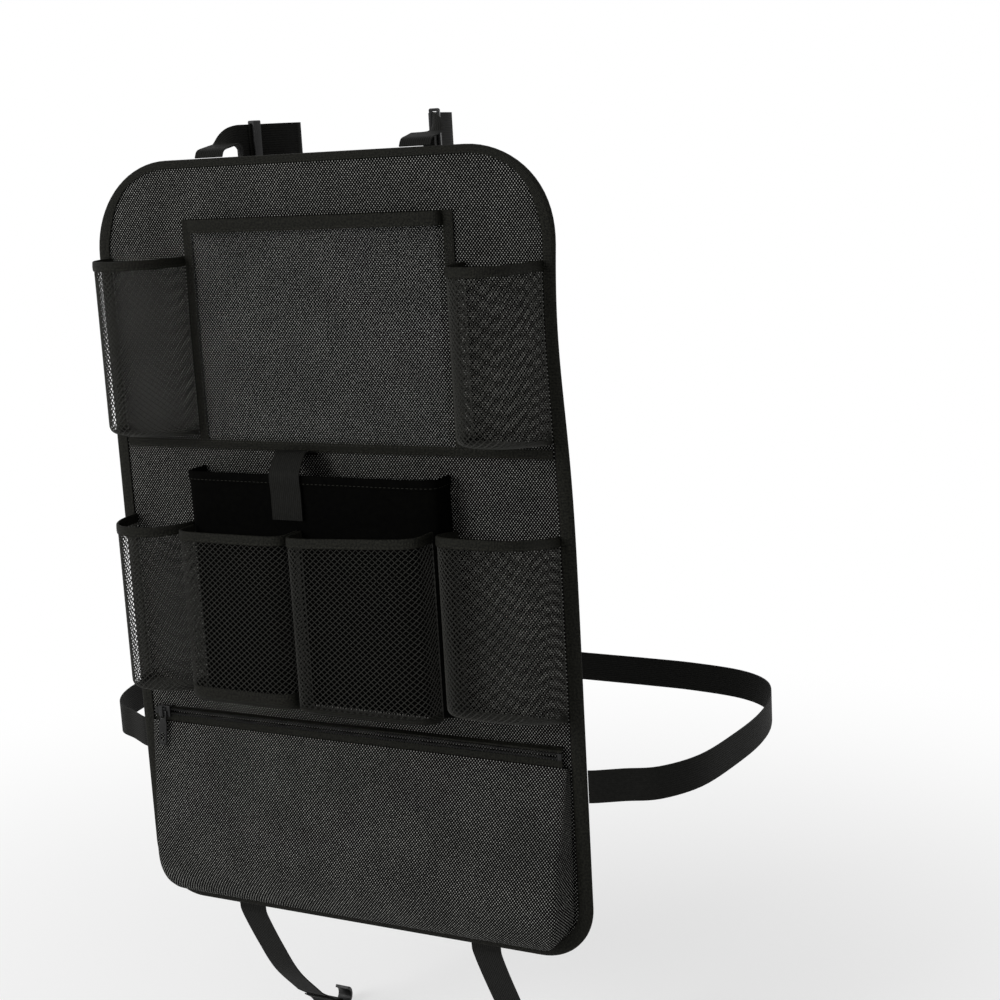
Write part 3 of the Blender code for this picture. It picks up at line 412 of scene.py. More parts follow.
MATERIALS = {
    "woven_polyester": woven_polyester(),
    "grosgrain_tape": grosgrain_tape(),
    "plain_polyester": plain_polyester(),
    # Knitted polyester net, black yarn with a soft gloss
    "polyester_net": grained("polyester_net", "0f0f0e", "3e3e3a", 0.5, 1.5 * MM, 0.15, 0.1 * MM),
    "webbing": webbing(),
    "clear_film": clear_film(),
    # Polyamide coil, moulded and satin
    "nylon_coil": grained("nylon_coil", "0a0a09", "161615", 0.4, 1.2 * MM),
    # Black enamel over die-cast zinc, smooth and glossy
    "enamelled_zinc": grained("enamelled_zinc", "0a0a0a", "1e1e1e", 0.25, 2.5 * MM, 0.2),
    # Acetal resin, moulded with a fine spark texture
    "acetal": grained("acetal", "101010", "1a1a1a", 0.42, 0.8 * MM),
    # Bonded polyester sewing thread
    "thread": grained("thread", "12120f", "26261f", 0.55, 0.9 * MM, 0.15),
}


def deselect():
    """Empties the selection."""
    bpy.ops.object.select_all(action="DESELECT")


def activate(piece):
    """Selects one piece alone."""
    deselect()
    piece.select_set(True)
    bpy.context.view_layer.objects.active = piece


def apply_modifiers(piece):
    """Applies every modifier of a piece."""
    activate(piece)
    for modifier in list(piece.modifiers):
        bpy.ops.object.modifier_apply(modifier=modifier.name)


def weld(piece, flatten=False):
    """Joins the points of a piece that lie in one place, and on request the faces that lie in one plane."""
    activate(piece)
    bpy.ops.object.mode_set(mode="EDIT")
    bpy.ops.mesh.select_all(action="SELECT")
    bpy.ops.mesh.remove_doubles(threshold=WELD)
    if flatten:
        bpy.ops.mesh.dissolve_limited(angle_limit=FLAT_ANGLE)
    bpy.ops.object.mode_set(mode="OBJECT")


def smooth(piece, angle):
    """Shades a piece smooth, apart from edges sharper than the angle."""
    activate(piece)
    bpy.ops.object.shade_smooth_by_angle(angle=angle)


def dress(piece, material, body="root", replaces=()):
    """Gives a piece its material, ties it to its body and hides the nodes that it stands for."""
    piece.data.materials.clear()
    piece.data.materials.append(MATERIALS[material])
    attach(piece, body)
    if replaces:
        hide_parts(*replaces)


def chain_lengths(points):
    """Returns the length reached at each point of a chain."""
    lengths = [0.0]
    for first, second in zip(points, points[1:]):
        lengths.append(lengths[-1] + (second - first).length)
    return lengths


def even_chain(points, count):
    """Returns count points at even steps along a chain of points."""
    lengths = chain_lengths(points)
    chain = []
    index = 0
    for number in range(count):
        target = lengths[-1] * number / (count - 1)
        while index < len(points) - 2 and lengths[index + 1] < target:
            index += 1
        span = lengths[index + 1] - lengths[index]
        share = (target - lengths[index]) / span if span else 0.0
        chain.append(points[index].lerp(points[index + 1], share))
    return chain


def smooth_chain(points, steps):
    """Returns a Catmull-Rom curve through the points, with steps parts between two of them."""
    ends = [points[0] * 2 - points[1], *points, points[-1] * 2 - points[-2]]
    chain = []
    for before, start, end, after in zip(ends, ends[1:], ends[2:], ends[3:]):
        for number in range(steps):
            t = number / steps
            chain.append(0.5 * (2 * start + (end - before) * t
                                + (2 * before - 5 * start + 4 * end - after) * t ** 2
                                + (3 * start - before - 3 * end + after) * t ** 3))
    chain.append(points[-1].copy())
    return chain


def ease(value):
    """Returns a value held between 0 and 1, with soft ends."""
    share = min(1.0, max(0.0, value))
    return share * share * (3 - 2 * share)


def ripple(x, z, size):
    """Returns a soft, uneven wave from -1 to 1 for a place on the cloth."""
    across = math.sin(x / size + 1.7 * math.sin(z / size * 0.6))
    up = math.sin(z / size * 1.1 + 1.3 * math.sin(x / size * 0.7))
    return (across + up) / 2


def draw_in(x, z):
    """Returns x with the panel's right edge drawn in a little above its middle."""
    near = min(1.0, max(0.0, (x - HALF_WIDTH) / EDGE_BOW_MARGIN + 1))
    return x - EDGE_BOW * near ** 2 * math.exp(-((z - EDGE_BOW_HEIGHT) / EDGE_BOW_REACH) ** 2)


def lay_grid(name, rows):
    """Makes a grid and lays its points on rows of places. Its UV map is in metres along the cloth."""
    across, up = len(rows[0]), len(rows)
    deselect()
    bpy.ops.mesh.primitive_grid_add(x_subdivisions=across - 1, y_subdivisions=up - 1, size=1.0)
    piece = bpy.context.active_object
    piece.name = name
    mesh = piece.data
    mesh.name = name
    for number, vertex in enumerate(mesh.vertices):
        vertex.co = rows[number // across][number % across]
    widths = chain_lengths(max(rows, key=lambda row: chain_lengths(row)[-1]))
    heights = chain_lengths([row[across // 2] for row in rows])
    layer = mesh.uv_layers["UVMap"]
    for loop in mesh.loops:
        number = loop.vertex_index
        layer.data[loop.index].uv = (widths[number % across], heights[number // across])
    mesh.update()
    return piece


def declare(rows):
    """Measures a piece of cloth's width and length from its rows, and does nothing more with them."""
    width = max(chain_lengths(row)[-1] for row in rows)
    length = chain_lengths([row[len(row) // 2] for row in rows])[-1]
    if min(width, length) < SMALLEST_SHEET:
        return


def lay_cloth(name, rows, thickness, material, replaces, closed=False,
              even=True):
    """Makes a piece of cloth or tape with its wall, half to each side of the rows. An even wall keeps its
    thickness at its bends, which suits any piece without a sharp fold."""
    piece = lay_grid(name, rows)
    if closed:
        weld(piece)
    wall = piece.modifiers.new("wall", "SOLIDIFY")
    wall.thickness = thickness
    wall.offset = 0.0
    wall.use_even_offset = even
    apply_modifiers(piece)
    smooth(piece, CLOTH_SMOOTHING)
    dress(piece, material, replaces=replaces)
    declare(rows)


def lay_stitches(name, lines):
    """Sews lines of short stitches. Each line is a chain of places and the direction that the thread stands
    out."""
    deselect()
    bpy.ops.mesh.primitive_uv_sphere_add(segments=6, ring_count=4, radius=0.5)
    piece = bpy.context.active_object
    size = Matrix.Diagonal((THREAD, STITCH_LENGTH, THREAD, 1.0))
    bm = bmesh.new()
    for line, out in lines:
        count = max(2, int(chain_lengths(line)[-1] / STITCH_PITCH))
        places = even_chain(line, 2 * count + 1)
        for start, end in zip(places[::2], places[1::2]):
            along = (end - start).normalized()
            side = along.cross(out).normalized()
            turn = Matrix((side, along, side.cross(along))).transposed().to_4x4()
            stitch = piece.data.copy()
            stitch.transform(Matrix.Translation((start + end) / 2) @ turn @ size)
            bm.from_mesh(stitch)
            bpy.data.meshes.remove(stitch)
    bm.to_mesh(piece.data)
    bm.free()
    piece.name = name
    activate(piece)
    bpy.ops.object.shade_smooth()
    dress(piece, "thread")


def outline(inset):
    """Returns the panel's outline, moved inwards by inset, as (x, z) points, closed."""
    wide = HALF_WIDTH - inset
    high = HALF_HEIGHT - inset
    points = []
    for side, level, corner, start in ((1, 1, TOP_CORNER, 0), (-1, 1, TOP_CORNER, 90),
                                       (-1, -1, BOTTOM_CORNER, 180), (1, -1, BOTTOM_CORNER, 270)):
        radius = corner - inset
        centre = Vector((side * (wide - radius), level * (high - radius)))
        for number in range(CORNER_STEPS + 1):
            angle = math.radians(start + 90 * number / CORNER_STEPS)
            points.append(centre + radius * Vector((math.cos(angle), math.sin(angle))))
    points.append(points[0].copy())
    filled = [points[0]]
    for first, second in zip(points, points[1:]):
        length = (second - first).length
        parts = max(1, round(length / OUTLINE_STEP)) if length > 2 * OUTLINE_STEP else 1
        filled += [first.lerp(second, number / parts) for number in range(1, parts + 1)]
    return filled


def outline_half_width(z, inset):
    """Returns the half width of the inset outline at height z."""
    radius = (TOP_CORNER if z > 0 else BOTTOM_CORNER) - inset
    over = max(0.0, abs(z) - (HALF_HEIGHT - inset - radius))
    return HALF_WIDTH - inset - radius + math.sqrt(max(0.0, radius ** 2 - min(over, radius) ** 2))


def make_panel():
    """The stiffened panel: woven cloth over foam, gently uneven."""
    rows = []
    for number in range(PANEL_ROWS + 1):
        crowded = -math.cos(math.pi * number / PANEL_ROWS)
        share = PANEL_CROWDING * crowded + (1 - PANEL_CROWDING) * (2 * number / PANEL_ROWS - 1)
        z = share * (HALF_HEIGHT - PANEL_EDGE_INSET)
        wide = outline_half_width(z, PANEL_EDGE_INSET)
        rows.append([Vector((wide * (2 * column / PANEL_COLUMNS - 1), FRONT, z))
                     for column in range(PANEL_COLUMNS + 1)])
    piece = lay_grid("panel_cloth", rows)
    layer = piece.data.uv_layers["UVMap"]
    for loop in piece.data.loops:
        place = piece.data.vertices[loop.vertex_index].co
        layer.data[loop.index].uv = (place.x + HALF_WIDTH, place.z + HALF_HEIGHT)
    for vertex in piece.data.vertices:
        vertex.co.y += PANEL_WAVE * (0.5 + 0.5 * ripple(vertex.co.x, vertex.co.z, PANEL_WAVE_LENGTH))
        vertex.co.x = draw_in(vertex.co.x, vertex.co.z)
    wall = piece.modifiers.new("wall", "SOLIDIFY")
    wall.thickness = (panel_high.y - panel_low.y) - PANEL_WAVE - GAP
    wall.offset = -1.0
    apply_modifiers(piece)
    for vertex in piece.data.vertices:
        vertex.co.y = min(max(vertex.co.y, panel_low.y), panel_high.y)
    smooth(piece, CLOTH_SMOOTHING)
    dress(piece, "woven_polyester", replaces=["back_panel"])


def edge_line(inset, y):
    """Returns a closed line round the panel, inset from its edge. Along the top, less of the tape shows."""
    line = []
    for edge, inner in zip(outline(0.0), outline(inset)):
        top = ease((edge.y - HALF_HEIGHT + BINDING_TURN_BELOW) / BINDING_TURN_REACH)
        x, z = edge.lerp(inner, 1 - (1 - BINDING_TURN) * top)
        line.append(Vector((draw_in(x, z), y, z)))
    return line


def make_binding():
    """The tape folded over the panel's edge, rounded where it turns, with its stitches."""
    out = GAP + TAPE / 2
    front = FRONT - out
    back = -TAPE / 2
    middle = (front + back) / 2
    deep = (back - front) / 2
    fold = [(BINDING_WIDTH * share, front - BINDING_CROWN * rise) for share, rise in BINDING_CROWN_SHAPE]
    for degrees in range(0, 181, 20):
        angle = math.radians(degrees)
        inset = deep * (1 - BINDING_TUCK * math.sin(angle)) - out * math.sin(angle)
        fold.append((inset, middle - deep * math.cos(angle)))
    fold += [(BINDING_WIDTH * BINDING_BACK, back), (BINDING_WIDTH, back)]
    rows = [edge_line(inset, y) for inset, y in fold]
    lay_cloth("edge_binding", rows, TAPE, "grosgrain_tape", ["panel_binding"], closed=True)
    line = edge_line(BINDING_WIDTH - STITCH_INSET, front - TAPE / 2 - STITCH_LIFT)
    lay_stitches("binding_stitches", [(line, Vector((0, -1, 0)))])


def section(width, depth, power, count):
    """Returns a pocket's section from one side to the other, as (share of width, share of depth)."""
    dense = []
    for number in range(SECTION_SAMPLES + 1):
        angle = math.pi * number / SECTION_SAMPLES
        across = math.copysign(abs(math.cos(angle)) ** (2 / power), -math.cos(angle))
        out = abs(math.sin(angle)) ** (2 / power)
        dense.append(Vector((width / 2 * across, depth * out, 0.0)))
    return [(point.x / width + 0.5, point.y / depth) for point in even_chain(dense, count)]


def profile(height, depth, floor, count):
    """Returns a pocket's front from its seam up, as (height, share of depth)."""
    dense = []
    for number in range(PROFILE_SAMPLES + 1):
        angle = math.pi / 2 * number / PROFILE_SAMPLES
        up = floor * (1 - math.cos(angle) ** (2 / FLOOR_POWER))
        dense.append(Vector((up, depth * math.sin(angle) ** (2 / FLOOR_POWER), 0.0)))
    dense.append(Vector((height, depth, 0.0)))
    return [(point.x, point.y / depth) for point in even_chain(dense, count)]


def pocket_box(node, wall):
    """Returns the corners of a pocket's box, with the sides and the front moved in by half its wall."""
    low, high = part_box(node)
    inset = Vector((wall / 2, wall / 2, 0.0))
    return low + inset, high - inset


def pocket_surface(low, high, top, power, floor, columns, rows, rise=0.0, lift=0.0):
    """Returns the rows of a pocket's front between the corners of its box. rise lifts its right end, and lift
    its front."""
    width = high.x - low.x
    depth = high.y - low.y
    height = top - low.z
    across = section(width, depth, power, columns)
    made = []
    for up, share in profile(height, depth, floor, rows):
        row = []
        for x, out in across:
            z = low.z + up * (1 + rise * x / height) + lift * out * share
            row.append(Vector((draw_in(low.x + width * x, z), high.y - depth * out * share, z)))
        made.append(row)
    return made


def slacken(rows, limit, depth, length):
    """Lets the part of a pocket's rows that lies before the limit sink in by soft waves."""
    for row in rows:
        for point in row:
            if point.y < limit:
                point.y += depth * (1 + ripple(point.x, point.z, length))


def rim_profile(height, wall):
    """Returns the section of a tape folded over an edge, as (out, up) from the edge."""
    offset = wall / 2 + RIM_CLEARANCE + TAPE / 2
    leg = height - offset
    points = [(-offset, -leg), (-offset - RIM_CROWN, -leg * 0.5), (-offset, 0.0)]
    points += [(offset * math.cos(math.radians(angle)), offset * math.sin(math.radians(angle)))
               for angle in range(150, 29, -30)]
    points += [(offset, 0.0), (offset + RIM_CROWN, -leg * 0.5), (offset, -leg)]
    return points


def fold_tape(name, top_row, height, wall, replaces, material="grosgrain_tape"):
    """Folds a tape over a pocket's top edge and sews it."""
    directions = [after - before for before, after in zip(top_row, top_row[2:])]
    directions = [Vector((0, -1, 0)), *directions, Vector((0, 1, 0))]
    outward = [Vector((way.x, way.y, 0.0)).normalized().cross(Vector((0, 0, 1))) for way in directions]
    folded = rim_profile(height, wall)
    rows = [[point + side * out + Vector((0, 0, up)) for point, side in zip(top_row, outward)]
            for out, up in folded]
    lay_cloth(name, rows, TAPE, material, replaces)
    out, up = folded[-1]
    line = [point + side * (out + TAPE / 2 + STITCH_LIFT) + Vector((0, 0, up + STITCH_INSET))
            for point, side in zip(top_row, outward)]
    lay_stitches(name + "_stitches", [(line, Vector((0, -1, 0.1)))])


def make_net(name, power, floor, rise, lift, foot):
    """A net pocket: a lattice of knitted strands, the folded rim tape and, if it has one, a plain foot."""
    low, high = pocket_box(name + "_net", CLOTH)
    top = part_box(name + "_rim")[1].z - TAPE
    width, depth = high.x - low.x, high.y - low.y
    shape = section(width, depth, power, GIRTH_SAMPLES)
    girth = sum(math.hypot((b[0] - a[0]) * width, (b[1] - a[1]) * depth) for a, b in zip(shape, shape[1:]))
    columns = 2 * round(girth / NET_CELL_WIDTH) + 1
    count = 2 * round((top - low.z + depth) / NET_CELL_HEIGHT) + 1
    rows = pocket_surface(low, high, top - MOUTH_DROP, power, floor, columns, count, rise, lift)
    piece = lay_grid(name + "_mesh", rows)
    lattice = piece.modifiers.new("lattice", "DECIMATE")
    lattice.decimate_type = "UNSUBDIV"
    lattice.iterations = 1
    strands = piece.modifiers.new("strands", "WIREFRAME")
    strands.thickness = NET_STRAND
    strands.use_even_offset = False
    strands.use_boundary = True
    apply_modifiers(piece)
    dress(piece, "polyester_net", replaces=[name + "_net"])
    declare(rows)
    fine = pocket_surface(low, high, top - MOUTH_DROP, power, floor, RIM_COLUMNS, RIM_ROWS, rise, lift)
    fold_tape(name + "_rim_tape", fine[-1], RIM_HEIGHT, CLOTH, [name + "_rim"])
    if foot:
        foot_rows = [[point + Vector((0, -CLOTH, 0)) for point in row] for row in fine
                     if row[len(row) // 2].z < low.z + foot]
        lay_cloth(name + "_foot", foot_rows, CLOTH / 2, "grosgrain_tape", [name + "_net"])


def make_document_pocket():
    """The plain pocket behind the two front net pockets, a little slack, with its hem."""
    low, high = pocket_box("document_pocket", CLOTH)
    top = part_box("document_hem")[1].z - TAPE
    rows = pocket_surface(low, high, top - MOUTH_DROP, DOCUMENT_POWER, DOCUMENT_FLOOR, *DOCUMENT_GRID)
    slacken(rows, low.y + DOCUMENT_SLACK_MARGIN, DOCUMENT_SLACK, DOCUMENT_SLACK_LENGTH)
    # The lining and its hem take the near-black lining colour, which is partly painted shade
    lay_cloth("document_cloth", rows, CLOTH, "plain_polyester", ["document_pocket"])
    fold_tape("document_hem_tape", rows[-1], HEM_HEIGHT, CLOTH, ["document_hem"], "plain_polyester")


def make_flat_tape(node):
    """A tape sewn flat on the panel, softly crowned. Returns its two lines of stitches."""
    low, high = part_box(node)
    middle = (low.y + high.y) / 2
    size = high - low
    upright = size.z > size.x
    length, width = (size.z, size.x) if upright else (size.x, size.z)

    def place(reach, share, y):
        """Returns the place at a length along the tape and a share of its width."""
        x = low.x + (width * (1 - share) if upright else reach)
        z = low.z + (reach if upright else width * share)
        return Vector((draw_in(x, z), y, z))

    steps = int(length / FLAT_TAPE_STEP)
    rows = []
    for number in range(FLAT_TAPE_ROWS + 1):
        share = number / FLAT_TAPE_ROWS
        crown = FLAT_TAPE_CROWN * math.sin(math.pi * share)
        rows.append([place(length * step / steps, share, middle - crown) for step in range(steps + 1)])
    lay_cloth(node + "_cloth", rows, TAPE, "grosgrain_tape", [node])
    lines = []
    for share in (STITCH_INSET / width, 1 - STITCH_INSET / width):
        ends = [place(reach, share, low.y - FLAT_STITCH_LIFT) for reach in (0.0, length)]
        lines.append((ends, Vector((0, -1, 0))))
    return lines


def make_sleeve():
    """The tablet sleeve: clear film, a folded tape along its mouth and flat tapes round it."""
    low, high = pocket_box("tablet_window", FILM)
    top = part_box("tablet_top_tape")[1].z - TAPE
    rows = pocket_surface(low, high, top - MOUTH_DROP, SLEEVE_POWER, SLEEVE_FLOOR, *SLEEVE_GRID)
    slacken(rows, low.y + SLEEVE_SLACK_MARGIN, SLEEVE_SLACK, SLEEVE_SLACK_LENGTH)
    lay_cloth("clear_window", rows, FILM, "clear_film", ["tablet_window"])
    fold_tape("sleeve_mouth_tape", rows[-1], SLEEVE_RIM_HEIGHT, FILM, ["tablet_top_tape"])
    lines = []
    for node in ("tablet_left_tape", "tablet_right_tape", "middle_tape"):
        lines += make_flat_tape(node)
    lay_stitches("sleeve_stitches", lines)


def ribbon(name, path, sides, width, replaces):
    """A strap of webbing along a path. sides are the directions across it."""
    shares = [number / RIBBON_STEPS - 0.5 for number in range(RIBBON_STEPS + 1)]
    rows = [[point + side * width * share for point, side in zip(path, sides)] for share in shares]
    lay_cloth(name, rows, WEBBING, "webbing", replaces)


def mirror(points, side):
    """Returns the points, on the left side where side is -1."""
    return [Vector((side * point.x, point.y, point.z)) for point in points]


def strap_eye(radius, tail):
    """Returns a strap's end that turns round a bar at the origin, as (along, across) points."""
    lead = EYE_LEAD * radius
    points = [(-lead, 0.0), (-EYE_ENTRY[0] * radius, EYE_ENTRY[1] * radius)]
    for step in range(EYE_STEPS + 1):
        angle = math.radians(EYE_TURN - 2 * EYE_TURN * step / EYE_STEPS)
        points.append((radius * math.cos(angle), radius * math.sin(angle)))
    points.append((-EYE_EXIT[0] * radius, -EYE_EXIT[1] * radius - EYE_SPACING / 2))
    points += [(-lead, -EYE_SPACING), (-lead - tail, -EYE_SPACING)]
    return points


def place_eye(eye, origin, along, across):
    """Maps a strap's end to its place."""
    return [origin + along * a + across * b for a, b in eye]


def make_document_strap():
    """The wide strap over the document pocket's mouth."""
    low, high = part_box("document_strap")
    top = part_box("middle_tape")[0].z - GAP - WEBBING
    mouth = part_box("document_hem")[1].z
    arch, bend, bulge = DOCUMENT_STRAP_ARCH, DOCUMENT_STRAP_BEND, DOCUMENT_STRAP_BULGE
    out = FRONT - low.y - WEBBING / 2 - bulge
    start = GAP + WEBBING / 2
    places = [(start, top), (start + bend, top + arch / 2), (out * 0.6, top + arch),
              (out - bulge, mouth + bend), (out + bulge, mouth - arch), (out, mouth - 4 * arch), (out, low.z)]
    x = (low.x + high.x) / 2
    path = smooth_chain([Vector((x, FRONT - depth, z)) for depth, z in places], 8)
    ribbon("document_strap_webbing", path, [Vector((1, 0, 0))] * len(path), high.x - low.x,
           ["document_strap"])


def make_top_strap(name, side):
    """A strap over the seat's shoulder, which turns on its side for its loop round a headrest's post."""
    top = HALF_HEIGHT + GAP + TAPE + GAP
    x = TOP_STRAP_X
    along = Vector((-math.sin(TOP_STRAP_SLANT), math.cos(TOP_STRAP_SLANT), 0.0))
    across = Vector((math.cos(TOP_STRAP_SLANT), math.sin(TOP_STRAP_SLANT), 0.0))
    centre = Vector((x - TOP_STRAP_SHIFT, TOP_STRAP_RUN, top + TOP_STRAP_RISE))
    eye = place_eye(strap_eye(POST_LOOP_RADIUS, TOP_STRAP_TAIL), centre, along, across)
    lead = [Vector((x, FRONT / 2, top))]
    for inwards, back, share in TOP_STRAP_COURSE:
        lead.append(Vector((x - inwards, back, top + TOP_STRAP_RISE * share)))
    lead.append(centre - along * (EYE_LEAD * POST_LOOP_RADIUS + TOP_STRAP_LEAD))
    lead = smooth_chain(lead, 6)
    path = smooth_chain(lead + eye, 2)
    start = 2 * len(lead) - TOP_STRAP_TWIST_BEFORE
    sides = []
    for number in range(len(path)):
        angle = ease((number - start) / TOP_STRAP_TWIST_LENGTH) * math.pi / 2
        sides.append(Vector((math.cos(angle), 0.0, math.sin(angle))))
    ribbon("shoulder_strap_" + name, mirror(path, side), mirror(sides, side), STRAP_WIDTH,
           ["top_strap_" + name])


def make_side_strap(name, side):
    """Half of the strap round the seat."""
    z = -HALF_HEIGHT + SIDE_STRAP_HEIGHT
    edge = HALF_WIDTH + GAP + TAPE + GAP
    far = HALF_WIDTH + SIDE_STRAP_REACH
    bar = Vector((BUCKLE_LENGTH / 2 + FITTING_SLOT + FITTING_THICKNESS / 2, SIDE_STRAP_RUN, z))
    eye = place_eye(strap_eye(EYE_RADIUS, SIDE_STRAP_TAIL), bar, Vector((-1, 0, 0)), Vector((0, 1, 0)))
    places = [Vector((edge, FRONT / 2, z))]
    places += [Vector((edge + out * MM, back * MM, z)) for out, back in SIDE_STRAP_START]
    places += [Vector((far - inwards * MM, back * MM, z)) for inwards, back in SIDE_STRAP_COURSE]
    path = smooth_chain(places, 6) + smooth_chain(eye, 2)
    ribbon("waist_strap_" + name, mirror(path, side), [Vector((0, 0, 1))] * len(path), STRAP_WIDTH,
           ["side_strap_" + name])


def make_bottom_strap(name, side):
    """A strap that runs back under the seat to its hook."""
    start = -HALF_HEIGHT - GAP - TAPE - GAP
    x = side * BOTTOM_STRAP_X
    end = Vector((x, BOTTOM_STRAP_RUN, start - BOTTOM_STRAP_DROP))
    lead = [Vector((x, FRONT / 2, start))]
    lead += [Vector((x, back * MM, start - down * MM)) for back, down in BOTTOM_STRAP_COURSE]
    along = (end - lead[-1]).normalized()
    across = Vector((1, 0, 0)).cross(along).normalized()
    eye = place_eye(strap_eye(EYE_RADIUS, BOTTOM_STRAP_TAIL), end, along, across)
    path = smooth_chain(lead, 8) + smooth_chain(eye, 2)
    ribbon("under_strap_" + name, path, [Vector((1, 0, 0))] * len(path), STRAP_WIDTH,
           ["bottom_strap_" + name])


def make_zip_pocket():
    """The bulging woven front below the zip. It sags a little above its seam."""
    low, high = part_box("zip_pocket_front")
    wide = high.x - CLOTH / 2
    inset = HALF_WIDTH - wide
    depth = high.y - low.y - CLOTH
    back = high.y - CLOTH / 2
    height = high.z - low.z
    belly = ZIP_POCKET_BELLY
    dense = []
    for number in range(ZIP_POCKET_SAMPLES):
        angle = math.pi / 2 * number / ZIP_POCKET_SAMPLES
        dense.append(Vector((depth * math.sin(angle), belly * (1 - math.cos(angle)), 0.0)))
    dense += [Vector((depth, belly, 0.0)), Vector((ZIP_STANDOFF, height, 0.0))]
    rows = []
    for out, up, _ in even_chain(dense, ZIP_POCKET_ROWS):
        z = low.z + up
        half = min(wide, outline_half_width(z, inset))
        sag = ZIP_POCKET_SAG * math.sin(2 * math.acos(max(0.0, 1 - up / belly)))
        creased = ZIP_POCKET_CREASE * min(1.0, up / belly) * (1 - up / height)
        row = []
        for across, share in section(2 * half, depth, ZIP_POCKET_POWER, ZIP_POCKET_COLUMNS):
            x = (half - ZIP_POCKET_LEAN * out / depth * share) * (2 * across - 1)
            crease = creased * ripple(x, z, ZIP_POCKET_CREASE_LENGTH) * share
            row.append(Vector((x, back - out * share - crease, z - sag * share)))
        rows.append(row)
    lay_cloth("zip_pocket_cloth", rows, CLOTH, "woven_polyester", ["zip_pocket_front"])


def make_zip():
    """The zip's tapes and coils. The upper tape turns back to the panel."""
    for name in ("upper", "lower"):
        low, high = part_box("zip_tape_" + name)
        near = low.y + ZIP_TAPE_INSET
        if name == "upper":
            inner, outer, edge = low.z, high.z, high.y - ZIP_TAPE_INSET
            left, right = ZIP_TAPE_HIDDEN
        else:
            inner, outer, edge = high.z, low.z, near
            left, right = 0.0, 0.0
        rows = []
        for share, y in ((0.0, near), (0.25, near), (0.5, near), (0.75, (near + edge) / 2), (1.0, edge)):
            row = []
            for reach in (step / ZIP_TAPE_STEPS for step in range(ZIP_TAPE_STEPS + 1)):
                end = outer - left + (left - right) * reach
                row.append(Vector((low.x + (high.x - low.x) * reach, y, inner + (end - inner) * share)))
            rows.append(row)
        if name == "lower":
            rows.reverse()
        lay_cloth("zip_ribbon_" + name, rows, ZIP_TAPE_THICKNESS, "grosgrain_tape", ["zip_tape_" + name],
                  even=False)
        make_coil(name)


def make_coil(name):
    """One half of the zip's coil: a flattened spiral of nylon wire."""
    low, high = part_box("zip_chain_" + name)
    centre = (low + high) / 2
    count = int((high.x - low.x) / COIL_PITCH) * COIL_SIDES
    curve = bpy.data.curves.new("coil_" + name, "CURVE")
    curve.dimensions = "3D"
    curve.bevel_depth = COIL_WIRE
    curve.bevel_resolution = 1
    curve.use_fill_caps = True
    spline = curve.splines.new("POLY")
    spline.points.add(count)
    for number, point in enumerate(spline.points):
        angle = 2 * math.pi * number / COIL_SIDES
        point.co = (low.x + (high.x - low.x) * number / count, centre.y + COIL_DEPTH * math.cos(angle),
                    centre.z + COIL_HEIGHT * math.sin(angle), 1.0)
    source = bpy.data.objects.new("coil_" + name, curve)
    bpy.context.scene.collection.objects.link(source)
    activate(source)
    bpy.ops.object.convert(target="MESH")
    piece = bpy.context.active_object
    bpy.ops.object.shade_smooth()
    dress(piece, "nylon_coil", replaces=["zip_chain_" + name])


def refine(node, name, material, bevel, body="root"):
    """Makes a clean copy of a hard part and rounds its edges."""
    piece = bpy.data.objects.new(name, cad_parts[node].data.copy())
    bpy.context.scene.collection.objects.link(piece)
    weld(piece, flatten=True)
    edge = piece.modifiers.new("edge", "BEVEL")
    edge.width = bevel
    edge.segments = BEVEL_SEGMENTS
    edge.limit_method = "ANGLE"
    edge.angle_limit = BEVEL_ANGLE
    apply_modifiers(piece)
    smooth(piece, HARD_SMOOTHING)
    dress(piece, material, body, replaces=[node])


def make_fittings():
    """The hard parts: slider, pull tab, end stops, keepers, hooks and buckle."""
    refine("zip_slider", "slider_body", "enamelled_zinc", 0.25 * MM, "slider")
    refine("zip_pull", "pull_tab_plate", "enamelled_zinc", 0.3 * MM, "pull_tab")
    for side in ("left", "right"):
        refine("zip_stop_" + side, "end_stop_" + side, "enamelled_zinc", 0.3 * MM)
        refine("top_keeper_" + side, "strap_keeper_" + side, "acetal", 0.6 * MM)
        refine("strap_hook_" + side, "under_hook_" + side, "acetal", 0.6 * MM)
    refine("buckle_plug", "buckle_tongue", "acetal", 0.5 * MM)
    refine("buckle_socket", "buckle_housing", "acetal", 0.5 * MM)


def make_camera():
    """The photograph's view."""
    data = bpy.data.cameras.new("camera")
    data.sensor_width = SENSOR_WIDTH
    data.lens = CAMERA_FOCAL_PIXELS * SENSOR_WIDTH / FRAME_PIXELS
    data.clip_start = 0.01
    data.clip_end = 60.0
    camera = bpy.data.objects.new("camera", data)
    matrix = Matrix((CAMERA_RIGHT, CAMERA_UP, CAMERA_BACK)).transposed().to_4x4()
    matrix.translation = CAMERA_PLACE
    camera.matrix_world = matrix
    bpy.context.scene.collection.objects.link(camera)
    bpy.context.scene.camera = camera


def seen_plain(tree):
    """Returns 1 for the rays that see the background as plain white: from the camera, mirrored or through."""
    ray = add(tree, "ShaderNodeLightPath").outputs
    mirrored = calculate(tree, "MAXIMUM", ray["Is Glossy Ray"], ray["Is Transmission Ray"])
    return calculate(tree, "MAXIMUM", ray["Is Camera Ray"], mirrored)


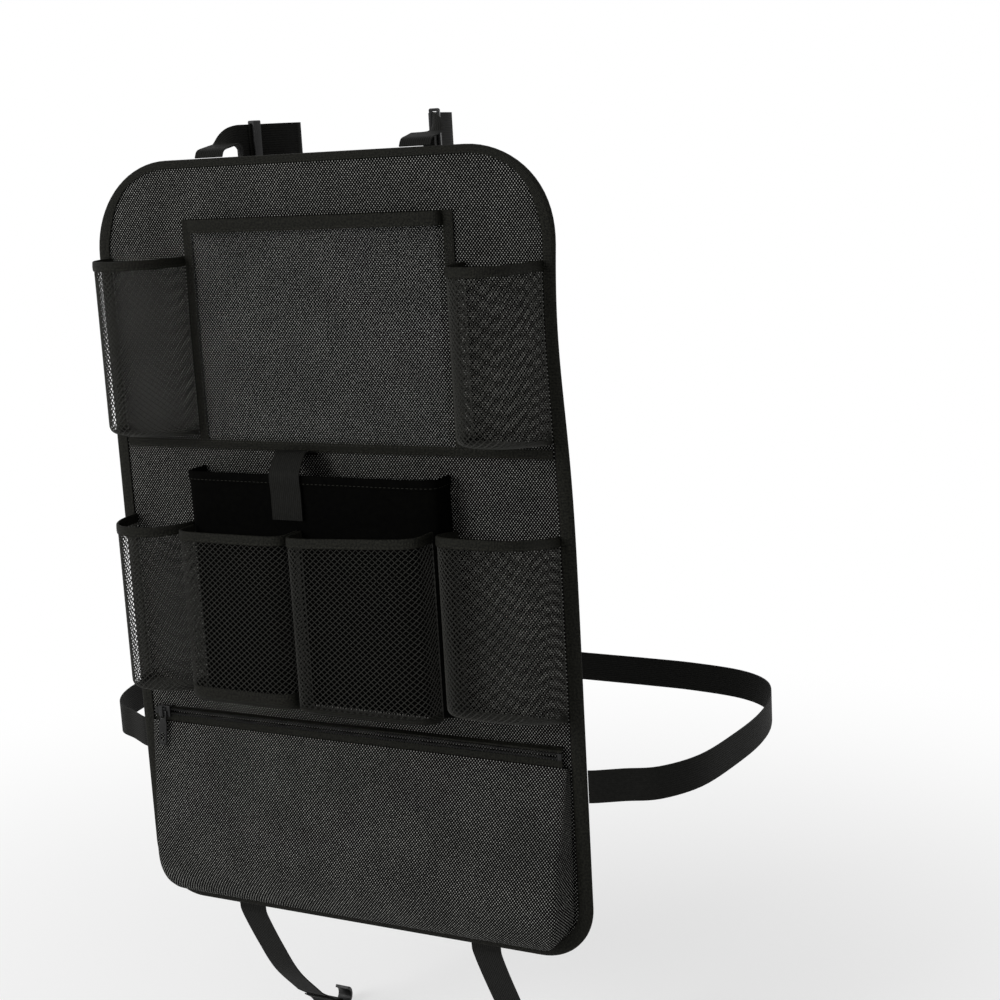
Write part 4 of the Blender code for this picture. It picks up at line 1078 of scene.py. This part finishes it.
def make_world():
    """A white surrounding that lights the left side more than the right."""
    world = bpy.data.worlds.new("studio")
    world.use_nodes = True
    bpy.context.scene.world = world
    tree = world.node_tree
    place = add(tree, "ShaderNodeTexCoord").outputs["Generated"]
    across = add(tree, "ShaderNodeSeparateXYZ", {0: place}).outputs[0]
    lit = add(tree, "ShaderNodeMapRange", {0: across, 1: -1.0, 2: 1.0, 3: WORLD_LEFT, 4: WORLD_RIGHT})
    level = add(tree, "ShaderNodeMapRange", {0: seen_plain(tree), 3: lit.outputs[0], 4: 1.0})
    tree.links.new(level.outputs[0], tree.nodes["Background"].inputs["Strength"])
    tree.nodes["Background"].inputs["Color"].default_value = (1.0, 1.0, 1.0, 1.0)


def make_lamps():
    """Two soft lamps that face the middle of the panel."""
    for name, place, size, power in LAMPS:
        lamp = bpy.data.lights.new(name, "AREA")
        lamp.energy = power
        lamp.size = size
        holder = bpy.data.objects.new(name, lamp)
        holder.location = place
        holder.rotation_mode = "QUATERNION"
        holder.rotation_quaternion = Vector(place).to_track_quat("Z", "Y")
        bpy.context.scene.collection.objects.link(holder)


def make_floor():
    """A pale floor that keeps the shadow near the object and fades to plain white."""
    deselect()
    bpy.ops.mesh.primitive_plane_add(size=FLOOR_SIZE, location=(0.0, 0.0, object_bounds()[0].z - FLOOR_DROP))
    floor = bpy.context.active_object
    floor.name = "floor"
    material, tree, shader = start_material("pale_floor", roughness=0.9, gloss=0.2)
    shader.inputs["Base Color"].default_value = linear("f7f7f7")
    far = add(tree, "ShaderNodeVectorMath", {0: object_place(tree)}, operation="LENGTH").outputs["Value"]
    plain = add(tree, "ShaderNodeEmission")
    shown = times(tree, spread(tree, far, *FLOOR_FADE, *FLOOR_PLAIN), seen_plain(tree))
    blend = add(tree, "ShaderNodeMixShader", {0: shown, 1: shader.outputs[0], 2: plain.outputs[0]})
    tree.links.new(blend.outputs[0], tree.nodes["Material Output"].inputs[0])
    floor.data.materials.append(material)


def make_all():
    """Builds every piece."""
    make_panel()
    make_binding()
    for name, shape in NET_POCKETS.items():
        make_net(name, *shape)
    make_document_pocket()
    make_document_strap()
    make_sleeve()
    make_zip_pocket()
    make_zip()
    for name, side in (("left", -1), ("right", 1)):
        make_top_strap(name, side)
        make_side_strap(name, side)
        make_bottom_strap(name, side)
    make_fittings()
    make_camera()
    make_world()
    make_lamps()
    make_floor()


make_all()
bpy.context.scene.view_settings.view_transform = "Standard"
